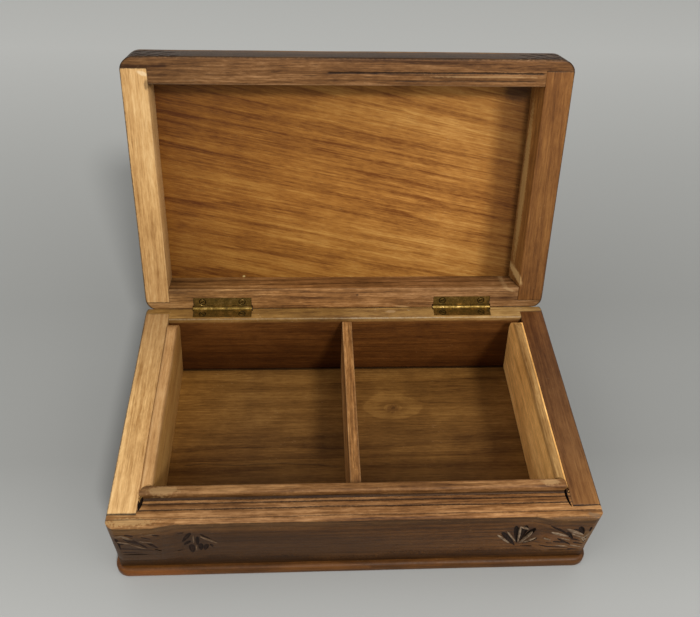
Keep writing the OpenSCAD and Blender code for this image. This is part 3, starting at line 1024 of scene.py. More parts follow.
@dataclass
class Carving:
    """Strokes on one face, cut into a board or raised on it."""

    name: str
    face: Face
    strokes: tuple[Stroke, ...]
    crest: Rgb = RUBBED

    def _solid(self, stroke: Stroke) -> bpy.types.Object:
        """Makes the canoe-shaped solid of one stroke."""
        start, end = Vector((*stroke.start, 0.0)), Vector((*stroke.end, 0.0))
        run = end - start
        deselect()
        rings = 12 if stroke.bend else 8
        bpy.ops.mesh.primitive_uv_sphere_add(segments=8, ring_count=rings, radius=1.0, rotation=(0.0, math.pi / 2, 0.0))
        solid = bpy.context.object
        bpy.ops.object.transform_apply(location=False, rotation=True, scale=False)
        angle = math.atan2(run.y, run.x)
        for vertex in solid.data.vertices:
            along, side, deep = vertex.co
            narrow = 1.0 - stroke.pinch * (along + 1.0) / 2.0
            bow = stroke.bend * (1.0 - along * along)
            side = side * stroke.width / 2.0 * narrow + bow
            vertex.co = Vector((along * run.length / 2.0, side, deep * stroke.depth * narrow))
        place = Matrix.Translation((start + end) / 2.0) @ Matrix.Rotation(angle, 4, "Z")
        solid.data.transform(self.face.frame() @ Matrix.Scale(MM, 4) @ place)
        return solid

    def _layers(self, tool: Tool) -> list[list[Stroke]]:
        """Sorts the strokes of one tool into layers in which no two strokes touch."""
        layers: list[list[Stroke]] = []
        for stroke in self.strokes:
            if stroke.tool is not tool:
                continue
            free = next((layer for layer in layers if not any(stroke.meets(other) for other in layer)), None)
            if free is None:
                layers.append([stroke])
            else:
                free.append(stroke)
        return layers

    def _join(self, strokes: Sequence[Stroke], material: bpy.types.Material) -> bpy.types.Object:
        """Joins the solids of some strokes that don't touch."""
        solids = [self._solid(stroke) for stroke in strokes]
        deselect()
        for solid in solids:
            solid.select_set(True)
        bpy.context.view_layer.objects.active = solids[0]
        if len(solids) > 1:
            bpy.ops.object.join()
        joined = bpy.context.object
        dress(joined, material)
        bpy.ops.object.shade_smooth()
        triangulate(joined)
        return joined

    def _carve(self, board: bpy.types.Object, solid: bpy.types.Object, tool: Tool, solver: str) -> bool:
        """Cuts one solid into the board or raises it there, and tells whether the board has changed."""
        faces = len(board.data.polygons)
        activate(board)
        carve = board.modifiers.new(tool.value, "BOOLEAN")
        carve.operation = "DIFFERENCE" if tool is Tool.GOUGE else "UNION"
        carve.solver = solver
        carve.object = solid
        carve.material_mode = "TRANSFER"
        bpy.ops.object.modifier_apply(modifier=carve.name)
        return len(board.data.polygons) != faces

    def cut(self, board: bpy.types.Object, tool: Tool) -> None:
        """Cuts the gouges into a board, or raises the ridges on it.

        Args:
            board: The board.
            tool: Which of the two.
        """
        layers = self._layers(tool)
        if not layers:
            return
        gouged = tool is Tool.GOUGE
        # Gouged hollows get painted shade; ridges get stain and rubbed crests.
        finish = CutFinish(CARVING_SHADE_DEEP, CARVING_SHADE_PALE, 0.7) if gouged else CutFinish(STAIN, self.crest, 0.55)
        material = finish.build(self.name + "_" + tool.value, self.face.side)
        for layer in layers:
            solid = self._join(layer, material)
            if not any(self._carve(board, solid, tool, solver) for solver in ("MANIFOLD", "EXACT")):
                log.warning("carving %s: a layer of the %s misses %s", self.name, tool.value, board.name)
            bpy.data.objects.remove(solid, do_unlink=True)
        log.info("carving %s: %s in %d layers", self.name, tool.value, len(layers))


def gouges(*lines: Sequence[float], pinch: float = 0.45) -> tuple[Stroke, ...]:
    """Gouge strokes from rows of start, end, width, depth and, where it has one, bend."""
    return tuple(Stroke((a, b), (c, d), w, t, Tool.GOUGE, pinch, *rest) for a, b, c, d, w, t, *rest in lines)


def ridges(*lines: Sequence[float]) -> tuple[Stroke, ...]:
    """Ridge strokes from rows of start, end, width, height and, where it has one, bend."""
    return tuple(Stroke((a, b), (c, d), w, t, Tool.RIDGE, 0.3, *rest) for a, b, c, d, w, t, *rest in lines)


BOX_FRONT = Face((0.0, -62.5, 43.7), (1.0, 0.0, 0.0), (0.0, -2.2, 38.7), Side.BOX)
BOX_FIELD = Face((0.0, -60.9, 43.7), (1.0, 0.0, 0.0), (0.0, -2.2, 38.7), Side.BOX)
LID_FRONT = Face((0.0, -63.5, 43.86), (1.0, 0.0, 0.0), (0.0, 0.0, 1.0), Side.LID)
RIM_TOP = Face((0.0, 0.0, 43.7), (1.0, 0.0, 0.0), (0.0, 1.0, 0.0), Side.BOX)
LID_TOP = Face((0.0, 0.0, 61.86), (1.0, 0.0, 0.0), (0.0, 1.0, 0.0), Side.LID)

# Each row below is a stroke's start and end, then its width and its depth. The heights on the box's front are
# measured down from its rim.
RIGHT_FAN = gouges(
    (61.8, -14.0, 69.6, -27.2, 3.4, 1.5), (66.9, -8.6, 70.1, -24.8, 3.2, 1.5), (71.2, -8.4, 70.8, -22.7, 4.0, 1.7),
    (75.4, -10.4, 71.8, -23.5, 3.6, 1.7), (78.0, -18.2, 72.5, -25.6, 2.8, 1.5), (79.0, -26.4, 71.8, -27.3, 1.6, 1.0), pinch=0.6,
)
RIGHT_FAN_RIDGES = ridges(
    (60.2, -16.4, 66.9, -25.0, 1.5, 0.6), (63.8, -13.4, 69.3, -23.3, 1.0, 0.9), (68.9, -9.3, 70.3, -23.9, 1.3, 0.9),
    (75.0, -14.3, 71.0, -24.8, 1.3, 1.0), (78.0, -17.9, 72.6, -24.0, 1.1, 1.1), (69.1, -9.7, 72.8, -11.9, 0.8, 0.7),
)
RIGHT_LEAF = gouges(
    (75.0, -5.8, 82.0, -6.7, 1.5, 1.0, 0.6), (80.4, -6.7, 91.4, -16.9, 1.7, 1.0, 0.9), (89.0, -12.0, 93.0, -19.0, 2.4, 1.2),
    (93.6, -7.4, 96.5, -15.0, 3.2, 1.5), (86.0, -17.9, 93.6, -24.6, 1.6, 0.9), (84.6, -20.9, 92.0, -22.3, 1.7, 0.9),
    (91.8, -18.2, 96.4, -20.5, 1.6, 0.9), (76.0, -24.4, 93.2, -27.3, 1.4, 0.9), (92.6, -28.4, 98.8, -29.8, 2.4, 1.1),
    (81.6, -22.0, 85.3, -22.4, 0.9, 0.6), (91.2, -9.6, 95.0, -11.4, 1.5, 0.8), (93.8, -22.1, 98.8, -23.8, 1.4, 0.8),
    (84.4, -8.6, 88.6, -13.4, 1.2, 0.7), (98.4, -8.0, 98.8, -12.6, 1.6, 0.8), (98.0, -15.6, 98.4, -22.8, 1.2, 0.7),
)
RIGHT_LEAF_RIDGES = ridges(
    (82.2, -12.1, 90.6, -16.4, 1.8, 0.6), (88.3, -9.3, 96.8, -15.3, 2.0, 0.7), (91.4, -13.8, 98.9, -18.9, 1.2, 0.5),
    (80.0, -17.4, 83.6, -19.6, 1.2, 0.4), (84.0, -28.9, 93.3, -29.2, 0.8, 0.4), (93.0, -24.5, 98.8, -26.5, 1.1, 0.4),
    (97.4, -17.4, 98.8, -14.0, 1.1, 0.4), (97.6, -20.1, 98.8, -18.0, 1.0, 0.4), (96.0, -17.0, 98.8, -21.8, 0.8, 0.4),
    (87.4, -17.6, 92.0, -20.0, 0.9, 0.35), (86.6, -24.6, 92.6, -25.8, 0.9, 0.35),
)
LEFT_LEAF = gouges(
    (-95.6, -9.0, -89.2, -15.6, 3.6, 1.5), (-94.8, -6.3, -91.2, -7.9, 2.1, 1.1), (-98.8, -15.0, -93.8, -12.9, 1.8, 0.9),
    (-83.8, -6.9, -79.6, -9.1, 1.6, 0.8), (-87.0, -12.7, -82.8, -19.0, 2.4, 1.1), (-98.9, -18.5, -83.2, -20.8, 1.5, 0.8),
    (-98.1, -21.8, -89.6, -23.2, 1.4, 0.8), (-90.2, -13.9, -87.0, -18.6, 1.6, 0.8), (-98.8, -9.4, -98.6, -14.0, 2.0, 0.9),
    (-88.4, -8.6, -84.6, -10.6, 1.2, 0.7), (-98.2, -10.4, -98.4, -20.0, 1.2, 0.7),
)
LEFT_LEAF_RIDGES = ridges(
    (-98.8, -7.9, -95.6, -7.1, 1.6, 0.6), (-96.2, -7.5, -92.0, -10.8, 1.8, 0.7), (-98.9, -12.3, -93.2, -14.4, 1.1, 0.4),
    (-88.0, -6.8, -82.1, -6.1, 0.8, 0.35), (-89.8, -12.2, -84.0, -13.9, 0.9, 0.4), (-98.0, -24.1, -87.2, -24.3, 0.8, 0.35),
    (-84.5, -19.4, -80.6, -22.4, 0.9, 0.35), (-93.6, -15.2, -87.6, -19.4, 0.9, 0.35),
)
LEFT_SPRIG = gouges(
    (-68.6, -8.5, -72.7, -16.6, 2.6, 1.2), (-69.3, -15.5, -72.4, -19.5, 2.3, 1.1), (-69.2, -18.9, -69.5, -27.0, 3.4, 1.5),
    (-66.0, -12.0, -66.8, -19.8, 2.1, 1.0), (-65.4, -18.2, -65.8, -24.8, 2.8, 1.3), (-62.7, -19.0, -64.2, -24.8, 2.8, 1.3),
    (-64.8, -9.7, -59.7, -17.1, 1.7, 0.9), (-71.2, -8.5, -74.2, -9.0, 1.0, 0.6), (-76.0, -23.8, -72.6, -24.1, 1.2, 0.7),
    (-61.3, -18.9, -60.5, -22.2, 1.6, 0.8),
)
LEFT_SPRIG_RIDGES = ridges(
    (-65.0, -12.1, -58.2, -18.6, 1.1, 0.5), (-67.7, -11.0, -68.2, -18.0, 0.8, 0.4), (-67.4, -20.0, -67.6, -25.0, 0.8, 0.4),
)
LEFT_GAP = gouges((-89.1, -44.6, -89.2, -54.8, 2.3, 2.6, 0.4), (-85.6, -42.6, -89.0, -46.0, 1.4, 1.8), pinch=0.2)
RIGHT_GAP = gouges((88.9, -46.6, 89.3, -57.2, 1.3, 2.0, -0.8), (83.6, -43.6, 86.6, -46.4, 1.0, 1.6), pinch=0.2)
LID_EDGE = gouges(
    (99.0, 2.4, 92.6, 7.4, 2.6, 0.9), (94.6, 1.6, 88.2, 6.0, 2.4, 0.9), (89.4, 1.2, 83.6, 5.2, 2.2, 0.8),
    (84.6, 1.0, 79.4, 4.4, 2.0, 0.8), (79.8, 0.9, 75.4, 3.6, 1.8, 0.7), (98.4, 8.6, 90.6, 13.6, 2.6, 0.9),
    (91.0, 8.0, 83.6, 12.6, 2.4, 0.8), (84.6, 6.6, 77.8, 10.4, 2.0, 0.7), (97.0, 15.6, 80.4, 14.8, 1.4, 0.6),
)


def leaf(base: tuple[float, float], tip: tuple[float, float], breadth: float, veins: int = 4) -> tuple[Stroke, ...]:
    """A carved leaf: two bowed outlines, a midrib and slanting cuts on both sides of it.

    Args:
        base: Where its stalk is.
        tip: Its point.
        breadth: Its greatest breadth.
        veins: How many cuts each half has.

    Returns:
        Its strokes.
    """
    run = (tip[0] - base[0], tip[1] - base[1])
    strokes = [
        Stroke(base, tip, 1.3, 0.8, Tool.GOUGE, 0.2, breadth * 0.5),
        Stroke(base, tip, 1.3, 0.8, Tool.GOUGE, 0.2, -breadth * 0.5),
        Stroke(base, tip, 1.1, 0.7, Tool.GOUGE, 0.5),
    ]
    for index in range(veins):
        root = 0.14 + 0.62 * index / veins
        reach = root + 0.24
        spread = breadth * 0.4 * (1.0 - (2.0 * reach - 1.0) ** 2) / math.hypot(*run)
        for side in (1, -1):
            inner = (base[0] + run[0] * root - run[1] * 0.03 * side, base[1] + run[1] * root + run[0] * 0.03 * side)
            outer = (
                base[0] + run[0] * reach - run[1] * spread * side,
                base[1] + run[1] * reach + run[0] * spread * side,
            )
            strokes.append(Stroke(outer, inner, breadth * 0.17, 0.8, Tool.GOUGE, 0.7))
    return tuple(strokes)


def spray(across: int, upward: int) -> tuple[Stroke, ...]:
    """Three leaves and a curl that fill one corner of the lid's top.

    Args:
        across: Which way the corner lies sideways, +1 or -1.
        upward: Which way it lies from front to back, +1 or -1.

    Returns:
        Its strokes.
    """
    strokes = (
        leaf((90.0, 50.0), (66.0, 32.0), 9.0, 5)
        + leaf((87.0, 51.5), (56.0, 49.0), 7.5, 5)
        + leaf((91.5, 47.0), (89.0, 21.0), 7.5, 5)
        + gouges((56.0, 42.0, 48.0, 50.0, 1.6, 0.8, 2.2), (80.0, 22.0, 88.0, 14.0, 1.6, 0.8, 2.2))
    )
    return tuple(stroke.flipped(across, upward) for stroke in strokes)


def flower() -> tuple[Stroke, ...]:
    """A many-petalled flower with a leaf on each side, for the middle of the lid's top."""
    petal = Stroke((0.0, 15.0), (0.0, 4.6), 5.0, 1.3, Tool.GOUGE, 0.6)
    tip = Stroke((0.0, 20.0), (0.0, 12.5), 2.2, 0.9, Tool.GOUGE, 0.6)
    seed = Stroke((0.0, 3.2), (0.0, 1.0), 1.2, 0.8, Tool.GOUGE, 0.3)
    middle = (0.0, 0.0)
    petals = tuple(petal.turned(45.0 * index, middle) for index in range(8))
    tips = tuple(tip.turned(45.0 * index + 22.5, middle) for index in range(8))
    seeds = tuple(seed.turned(45.0 * index, middle) for index in range(8))
    side = leaf((22.0, 0.0), (47.0, 0.0), 10.0, 5)
    return petals + tips + seeds + side + tuple(stroke.mirrored() for stroke in side)


def border(half_w: float, half_d: float) -> tuple[Stroke, ...]:
    """Four straight cuts that frame the lid's top."""
    long_cut = Stroke((-half_w, half_d), (half_w, half_d), 1.2, 0.6, Tool.GOUGE, 0.0)
    short_cut = Stroke((half_w, -half_d), (half_w, half_d), 1.2, 0.6, Tool.GOUGE, 0.0)
    return (long_cut, long_cut.flipped(1, -1), short_cut, short_cut.flipped(-1, 1))


@dataclass
class Carcass:
    """The lower box: plate, walls, liners and divider."""

    pieces: list[bpy.types.Object] = field(default_factory=list)

    def boards(self) -> Iterable[Board]:
        """Describes the boards.

        Returns:
            The boards, in the order they are built.
        """
        s = SIZES
        foot, rim, lip = s.plate_t, s.rim_z, s.rim_z + 3.3
        lap_front, lap_rear = -s.half_d + 5.8, s.half_d - 4.3
        plain: Rgb = (1.0, 1.0, 1.0)
        box_outline = Outline(-s.half_d, s.half_d, 4.0)
        edge_stain = dict(colour=srgb(92, 54, 20), hold=0.9, rough=0.46)
        yield Board(
            "base_plate", Side.BOX,
            BoardFinish(
                FLOOR, Cut(Axis.X, 0.0, (26.0, -38.0), 1.3, 5.0), ((-104.8, -60.7, 0.0), (104.8, 65.3, foot)),
                seams=(Seam(Axis.Y, s.rear_in, 0.9, 0.8), Seam(Axis.Y, -25.0, 0.6, 0.6, 4.0, (30.0, 86.0)),
                       Seam(Axis.Y, -8.0, 0.5, 0.35, 5.0, (-80.0, -6.0)), Seam(Axis.Y, -26.0, 0.6, 0.4, 4.0, (-80.0, -6.0))),
                marks=(Mark((24.0, 26.0), 4.2, 3.4, srgb(76, 46, 20), 20.0, 0.6, 1.2),
                       Mark((24.3, 26.2), 1.5, 1.1, srgb(44, 24, 10), 20.0, 0.5, 1.0),
                       # Painted light and shade: the plate's front edge is lighter at the left and darker at the right.
                       Mark((-84.0, -63.5), 30.0, 4.0, srgb(128, 74, 36), 0.0, 0.4, 0.4),
                       Mark((80.0, -63.5), 32.0, 4.0, srgb(58, 34, 18), 0.0, 0.45, 0.4)),
                stained=(Stained(Axis.X, 100.5, 1, **edge_stain), Stained(Axis.X, -100.5, -1, **edge_stain),
                         Stained(Axis.Y, -57.5, -1, **edge_stain), Stained(Axis.Y, 61.5, 1, **edge_stain)),
                knots=(Knot(24.0, 26.0, 6.0, 9.0),),
                # The floor's front strip is darker: painted shadow of the front wall, partly a darker band of the wood.
                fades=(Fade(Axis.Y, ((-58.0, (1.0, 1.0, 1.0)), (-50.0, (0.72, 0.66, 0.54)), (-8.0, (0.78, 0.72, 0.6)),
                                     (6.0, plain), (45.0, (1.2, 1.18, 1.08)), (61.0, plain))),
                       Fade(Axis.X, ((-100.0, (1.55, 1.45, 1.1)), (-88.0, (1.35, 1.32, 1.1)), (-50.0, plain), (0.0, (1.05, 1.04, 0.96)), (40.0, (1.12, 1.12, 1.04)),
                                     (88.0, (0.95, 0.95, 0.9))))),
            ),
            "dark_wood", bevel=0.0, uneven=0.1,
        )
        yield Board(
            "front_wall", Side.BOX,
            BoardFinish(
                WALNUT, Cut(Axis.X, 0.0, (-90.0, 60.0), 2.1, 3.0), ((-102.0, -62.5, foot), (102.0, s.front_in, rim)),
                seams=(Seam(Axis.Y, s.front_in, 0.5, 0.7), Seam(Axis.Y, -52.0, 0.55, 0.75, 0.5),
                       Seam(Axis.Y, -54.8, 0.5, 0.8, 0.7), Seam(Axis.Y, -58.8, 0.35, 0.5, 0.6)),
                stained=(Stained(Axis.Z, rim - 1.1, -1, srgb(68, 44, 18), 0.88, 0.46),),
                marks=(Mark((88.0, -63.0), 19.0, 2.0, srgb(70, 48, 28), 0.0, 0.85, 0.5, over=rim - 1.5),
                       Mark((97.5, -61.0), 3.6, 1.2, srgb(96, 84, 70), -10.0, 0.5, 1.4, over=rim - 1.5),
                       Mark((-92.0, -60.0), 12.0, 2.2, WORN, 0.0, 0.45, 2.0, over=rim - 1.0),
                       # The dark patches at the fan, the left sprig and the left corner leaf are painted shade of the
                       # carving.
                       Mark((70.5, rim - 17.0), 9.5, 10.5, srgb(44, 29, 19), 0.0, 0.7, 0.8, True),
                       Mark((84.0, rim - 16.5), 8.0, 4.0, srgb(98, 66, 46), -6.0, 0.32, 0.8, True),
                       Mark((99.0, rim - 17.0), 4.0, 9.0, srgb(112, 92, 68), 0.0, 0.3, 3.0, True),
                       Mark((-68.0, rim - 18.5), 7.0, 9.0, srgb(42, 28, 19), 0.0, 0.6, 1.2, True),
                       Mark((-92.0, rim - 13.5), 9.0, 7.5, srgb(40, 27, 19), -10.0, 0.5, 1.6, True),
                       Mark((-60.0, 20.0), 110.0, 21.0, srgb(50, 33, 18), 0.0, 0.62, 0.2, True)),
                fades=(Fade(Axis.X, ((-102.0, (1.3, 1.36, 1.26)), (-78.0, (1.12, 1.12, 1.06)), (-50.0, plain),
                                     (40.0, (1.08, 1.04, 0.98)), (70.0, (1.3, 1.25, 1.15)), (102.0, (1.35, 1.34, 1.25)))),
                       Fade(Axis.Z, ((foot, (0.97, 0.84, 0.6)), (rim - 7.0, (0.97, 0.84, 0.6)), (rim - 3.0, plain)))),
            ),
            "dark_wood",
            carvings=(
                Carving("right_fan", BOX_FIELD, RIGHT_FAN + RIGHT_FAN_RIDGES),
                Carving("right_corner", BOX_FRONT, RIGHT_LEAF + RIGHT_LEAF_RIDGES),
                Carving("left_corner", BOX_FRONT, LEFT_LEAF + LEFT_LEAF_RIDGES, srgb(102, 82, 62)),
                Carving("left_sprig", BOX_FIELD, LEFT_SPRIG + LEFT_SPRIG_RIDGES, srgb(118, 96, 74)),
                Carving("front_left_gap", RIM_TOP, LEFT_GAP), Carving("front_right_gap", RIM_TOP, RIGHT_GAP),
            ),
        )
        yield Board(
            "rear_wall", Side.BOX,
            BoardFinish(
                INNER, Cut(Axis.X, 0.0, (50.0, -30.0), 3.7, 3.0), ((-102.0, s.rear_in, foot), (102.0, s.half_d, rim)),
                seams=(Seam(Axis.Z, foot, 1.2, 0.8),),
                outline=box_outline,
                marks=(Mark((22.8, 58.6), 3.2, 1.2, srgb(96, 62, 34), 0.0, 0.7, 0.8),),
                fades=(Fade(Axis.X, ((-90.0, (0.74, 0.66, 0.5)), (-4.0, (0.78, 0.7, 0.56)), (4.0, (1.2, 1.18, 1.1)),
                                     (60.0, (1.1, 1.06, 0.96)), (90.0, (0.84, 0.8, 0.76)))),
                       Fade(Axis.Z, ((foot, (0.62, 0.52, 0.4)), (rim - 3.0, (0.96, 0.92, 0.84)), (rim - 0.7, (2.8, 4.3, 6.6))))),
            ),
            "dark_wood",
        )
        yield Board(
            "left_wall", Side.BOX,
            BoardFinish(
                GOLDEN, Cut(Axis.Y, 0.5, (-160.0, -30.0), 4.2, 3.0),
                ((-102.0, lap_front, foot), (-s.side_in, lap_rear, rim)),
                seams=(Seam(Axis.Y, lap_front, 1.3, 0.9), Seam(Axis.Y, lap_rear, 0.5, 0.5)),
                stained=(Stained(Axis.Z, rim - 1.6, -1),), outline=box_outline,
                # Painted shade: the board darkens towards the rear.
                fades=(Fade(Axis.Y, ((-56.0, (1.12, 1.17, 1.24)), (0.0, (1.15, 1.22, 1.28)), (56.0, (0.56, 0.54, 0.52)))),),
            ),
            "light_wood", carvings=(Carving("left_gap", RIM_TOP, LEFT_GAP),),
        )
        yield Board(
            "right_wall", Side.BOX,
            BoardFinish(
                REDDISH, Cut(Axis.Y, -0.5, (170.0, -40.0), 5.9, 3.0),
                ((s.side_in, lap_front, foot), (102.0, lap_rear, rim)),
                seams=(Seam(Axis.Y, lap_front, 0.8, 0.95), Seam(Axis.Y, lap_rear, 0.5, 0.5)),
                stained=(Stained(Axis.Z, rim - 1.6, -1),), outline=box_outline,
                # Painted light and shade: lighter at the front corner, darker towards the rear.
                fades=(Fade(Axis.Y, ((-56.0, (1.1, 1.15, 1.1)), (-30.0, (0.73, 0.74, 0.76)), (10.0, (0.65, 0.66, 0.69)),
                                     (56.0, (0.62, 0.55, 0.46)))),),
            ),
            "mid_wood", carvings=(Carving("right_gap", RIM_TOP, RIGHT_GAP),),
        )
        yield Board(
            "front_liner", Side.BOX,
            BoardFinish(
                WALNUT, Cut(Axis.X, 0.0, (-70.0, 90.0), 6.4, 3.0), ((-90.0, s.front_in, foot), (90.0, -44.8, lip)),
                seams=(Seam(Axis.Z, rim, 0.6, 0.75),),
                stained=(Stained(Axis.Y, -49.0, -1, srgb(92, 56, 24), 0.6, 0.5),),
                marks=(Mark((-80.0, -47.5), 8.0, 2.4, WORN, 0.0, 0.5, 1.6), Mark((82.0, -47.0), 5.0, 2.0, WORN, 0.0, 0.6, 1.2)),
                fades=(Fade(Axis.X, ((-90.0, (0.82, 0.84, 0.8)), (-60.0, (0.78, 0.76, 0.66)), (90.0, (1.15, 1.14, 1.1)))),),
            ),
            "mid_wood",
            carvings=(Carving("lip_left_gap", RIM_TOP, LEFT_GAP), Carving("lip_right_gap", RIM_TOP, RIGHT_GAP)),
        )
        yield Board(
            "left_liner", Side.BOX,
            BoardFinish(
                GOLDEN, Cut(Axis.Y, 0.0, (-150.0, 10.0), 7.7, 3.0), ((-90.0, -49.0, foot), (-84.6, s.rear_in, lip)),
                # Painted light: the face grows lighter towards its foot.
                fades=(Fade(Axis.Z, ((foot, (0.98, 0.92, 0.66)), (rim - 2.0, (0.84, 0.76, 0.55)), (lip - 0.8, (0.84, 0.8, 0.8)))),
                       Fade(Axis.Y, ((-50.0, plain), (54.0, (0.82, 0.8, 0.78))))),
            ),
            "light_wood",
        )
        yield Board(
            "right_liner", Side.BOX,
            BoardFinish(
                OAKEN, Cut(Axis.Y, 0.0, (150.0, 30.0), 8.1, 3.0), ((84.6, -49.0, foot), (90.0, s.rear_in, lip)),
                # Painted light: the face below the rim is made about two and a half times as bright as the top.
                fades=(Fade(Axis.Z, ((foot, (2.5, 2.6, 2.6)), (rim, (2.4, 2.5, 2.45)), (lip - 0.8, (1.04, 1.09, 1.14)))),),
            ),
            "light_wood",
        )
        yield Board(
            "divider", Side.BOX,
            BoardFinish(
                WALNUT, Cut(Axis.Y, 0.0, (40.0, -60.0), 9.2, 2.0), ((-2.3, -44.8, foot), (2.3, s.rear_in, rim - 0.6)),
                fades=(Fade(Axis.Z, ((foot, (1.55, 1.55, 1.35)), (rim - 1.5, (1.4, 1.4, 1.25)))),),
            ),
            "tan_wood",
        )

    def build(self) -> None:
        """Makes every board of the lower box."""
        for board in self.boards():
            self.pieces.append(board.build())


@dataclass
class Lid:
    """The lid: four rails and the board that closes its top."""

    pieces: list[bpy.types.Object] = field(default_factory=list)

    def boards(self) -> Iterable[Board]:
        """Describes the boards.

        Returns:
            The boards, in the order they are built.
        """
        s = SIZES
        low, high = s.lid_z, s.board_z
        lap_front, lap_rear = s.lid_front + 5.2, s.half_d - 4.4
        plain: Rgb = (1.0, 1.0, 1.0)
        outline = Outline(s.lid_front, s.half_d, 7.0)
        corners = tuple(stroke for x in (1, -1) for y in (1, -1) for stroke in spray(x, y))
        yield Board(
            "lid_top_board", Side.LID,
            BoardFinish(
                HONEY, Cut(Axis.X, -12.0, (30.0, 140.0), 11.6, 5.0), ((-102.0, s.lid_front, high), (102.0, s.half_d, s.lid_top)),
                stained=(Stained(Axis.Z, high + 0.5, 1),),
                marks=(Mark((-53.0, 50.0), 0.9, 0.7, srgb(226, 198, 150), 0.0, 0.9, under=high + 1.0),
                       # The dark mark at the front right corner of the panel is painted shade in the recess.
                       Mark((80.5, -46.0), 8.0, 6.0, GRIME_AND_SHADE, 0.0, 0.5, 0.6, under=high + 1.0)),
                # Darker towards the left; the dark band along the right edge, from 75 mm on, is painted shadow of the
                # right rail.
                fades=(Fade(Axis.X, ((-91.0, (0.56, 0.5, 0.32)), (-50.0, (0.7, 0.65, 0.46)), (0.0, (0.98, 0.98, 0.84)),
                                     (50.0, (1.19, 1.24, 1.22)), (68.0, (1.08, 1.1, 1.04)), (75.0, (0.56, 0.52, 0.42)),
                                     (90.0, (0.34, 0.3, 0.24))), high + 1.0),
                       Fade(Axis.Y, ((-51.0, (0.84, 0.84, 0.82)), (-20.0, (0.94, 0.94, 0.94)), (8.0, plain),
                                     (51.0, (0.82, 0.84, 0.82))), high + 1.0)),
            ),
            "panel_wood", bevel=0.0,
            carvings=(
                Carving("lid_sprays", LID_TOP, corners),
                Carving("lid_flower", LID_TOP, flower() + border(96.0, 56.5)),
            ),
        )
        yield Board(
            "lid_front_rail", Side.LID,
            BoardFinish(
                WALNUT, Cut(Axis.X, 0.0, (-85.0, 10.0), 12.4, 3.0), ((-102.0, s.lid_front, low), (102.0, s.lid_front_in, high)),
                seams=(Seam(Axis.Y, -57.1, 0.6, 0.85, 0.4, (-10.0, 88.0)), Seam(Axis.Y, -53.6, 0.4, 0.5, 0.8, (20.0, 84.0))),
                outline=outline,
                marks=(Mark((60.0, -55.6), 30.0, 0.6, WORN, 0.0, 0.55, 0.9),),
                fades=(Fade(Axis.X, ((-102.0, (0.69, 0.69, 0.67)), (-40.0, (0.82, 0.8, 0.78)), (40.0, (0.9, 0.88, 0.86)),
                                     (102.0, (1.1, 1.08, 1.05)))),),
                wear=0.8,
            ),
            "tan_wood",
            carvings=(
                Carving("lid_edge_right", LID_FRONT, LID_EDGE),
                Carving("lid_edge_left", LID_FRONT, tuple(stroke.mirrored() for stroke in LID_EDGE)),
            ),
        )
        yield Board(
            "lid_rear_rail", Side.LID,
            BoardFinish(
                WALNUT, Cut(Axis.X, 0.0, (95.0, 80.0), 13.8, 3.0), ((-102.0, s.lid_rear_in, low), (102.0, s.half_d, high)),
                outline=outline,
                marks=(Mark((4.0, 55.2), 2.4, 2.6, srgb(92, 58, 30), 30.0, 0.6, 1.0), Mark((5.6, 54.2), 0.8, 0.8, GRIME_AND_SHADE, 0.0, 0.6),
                       Mark((29.0, 61.0), 5.0, 0.5, WORN, 4.0, 0.7), Mark((84.0, 51.6), 4.0, 1.0, WORN, 20.0, 0.6, 0.8)),
                fades=(Fade(Axis.X, ((-102.0, (0.84, 0.88, 0.78)), (-60.0, (1.08, 1.1, 0.96)), (-20.0, (1.3, 1.28, 1.14)),
                                     (40.0, (1.0, 0.98, 0.93)), (102.0, (0.82, 0.83, 0.79)))),),
            ),
            "tan_wood",
        )
        yield Board(
            "lid_left_rail", Side.LID,
            BoardFinish(
                GOLDEN, Cut(Axis.Y, 0.3, (-160.0, 90.0), 14.9, 3.0), ((-102.0, lap_front, low), (-90.0, lap_rear, high)),
                seams=(Seam(Axis.Y, lap_front, 0.5, 0.7), Seam(Axis.Y, lap_rear, 0.5, 0.7)),
                outline=outline,
                # The small dark spot at the front inner corner is painted shade in the recess's corner.
                marks=(Mark((-92.0, -56.0), 3.0, 1.2, srgb(232, 204, 160), 20.0, 0.6), Mark((-90.6, -51.0), 1.4, 3.0, GRIME_AND_SHADE, 0.0, 0.5)),
                fades=(Fade(Axis.Y, ((-56.0, (0.94, 0.95, 0.96)), (10.0, (0.92, 0.92, 0.9)), (58.0, (0.7, 0.68, 0.65)))),),
            ),
            "light_wood",
        )
        yield Board(
            "lid_right_rail", Side.LID,
            BoardFinish(
                REDDISH, Cut(Axis.Y, -0.4, (160.0, 70.0), 15.5, 3.0), ((86.6, lap_front, low), (102.0, lap_rear, high)),
                seams=(Seam(Axis.Y, lap_front, 0.5, 0.7), Seam(Axis.Y, lap_rear, 0.5, 0.7)),
                outline=outline,
                marks=(Mark((88.3, 45.5), 5.0, 1.6, srgb(190, 152, 108), 66.0, 0.7, 0.8),
                       Mark((87.3, 0.0), 50.0, 0.6, WORN, 90.0, 0.5, 1.0)),
                fades=(Fade(Axis.Y, ((-56.0, (1.16, 1.14, 0.95)), (-10.0, (0.99, 0.97, 0.8)), (58.0, (0.92, 0.92, 0.76)))),
                       # Painted light: the rail's side faces, the inner one among them, are made brighter than its rim.
                       Fade(Axis.Z, ((low, (0.97, 0.97, 0.97)), (low + 2.0, (1.36, 1.5, 1.55)), (high, (1.36, 1.5, 1.55))))),
            ),
            "mid_wood",
        )

    def build(self) -> None:
        """Makes every board of the lid."""
        for board in self.boards():
            self.pieces.append(board.build())


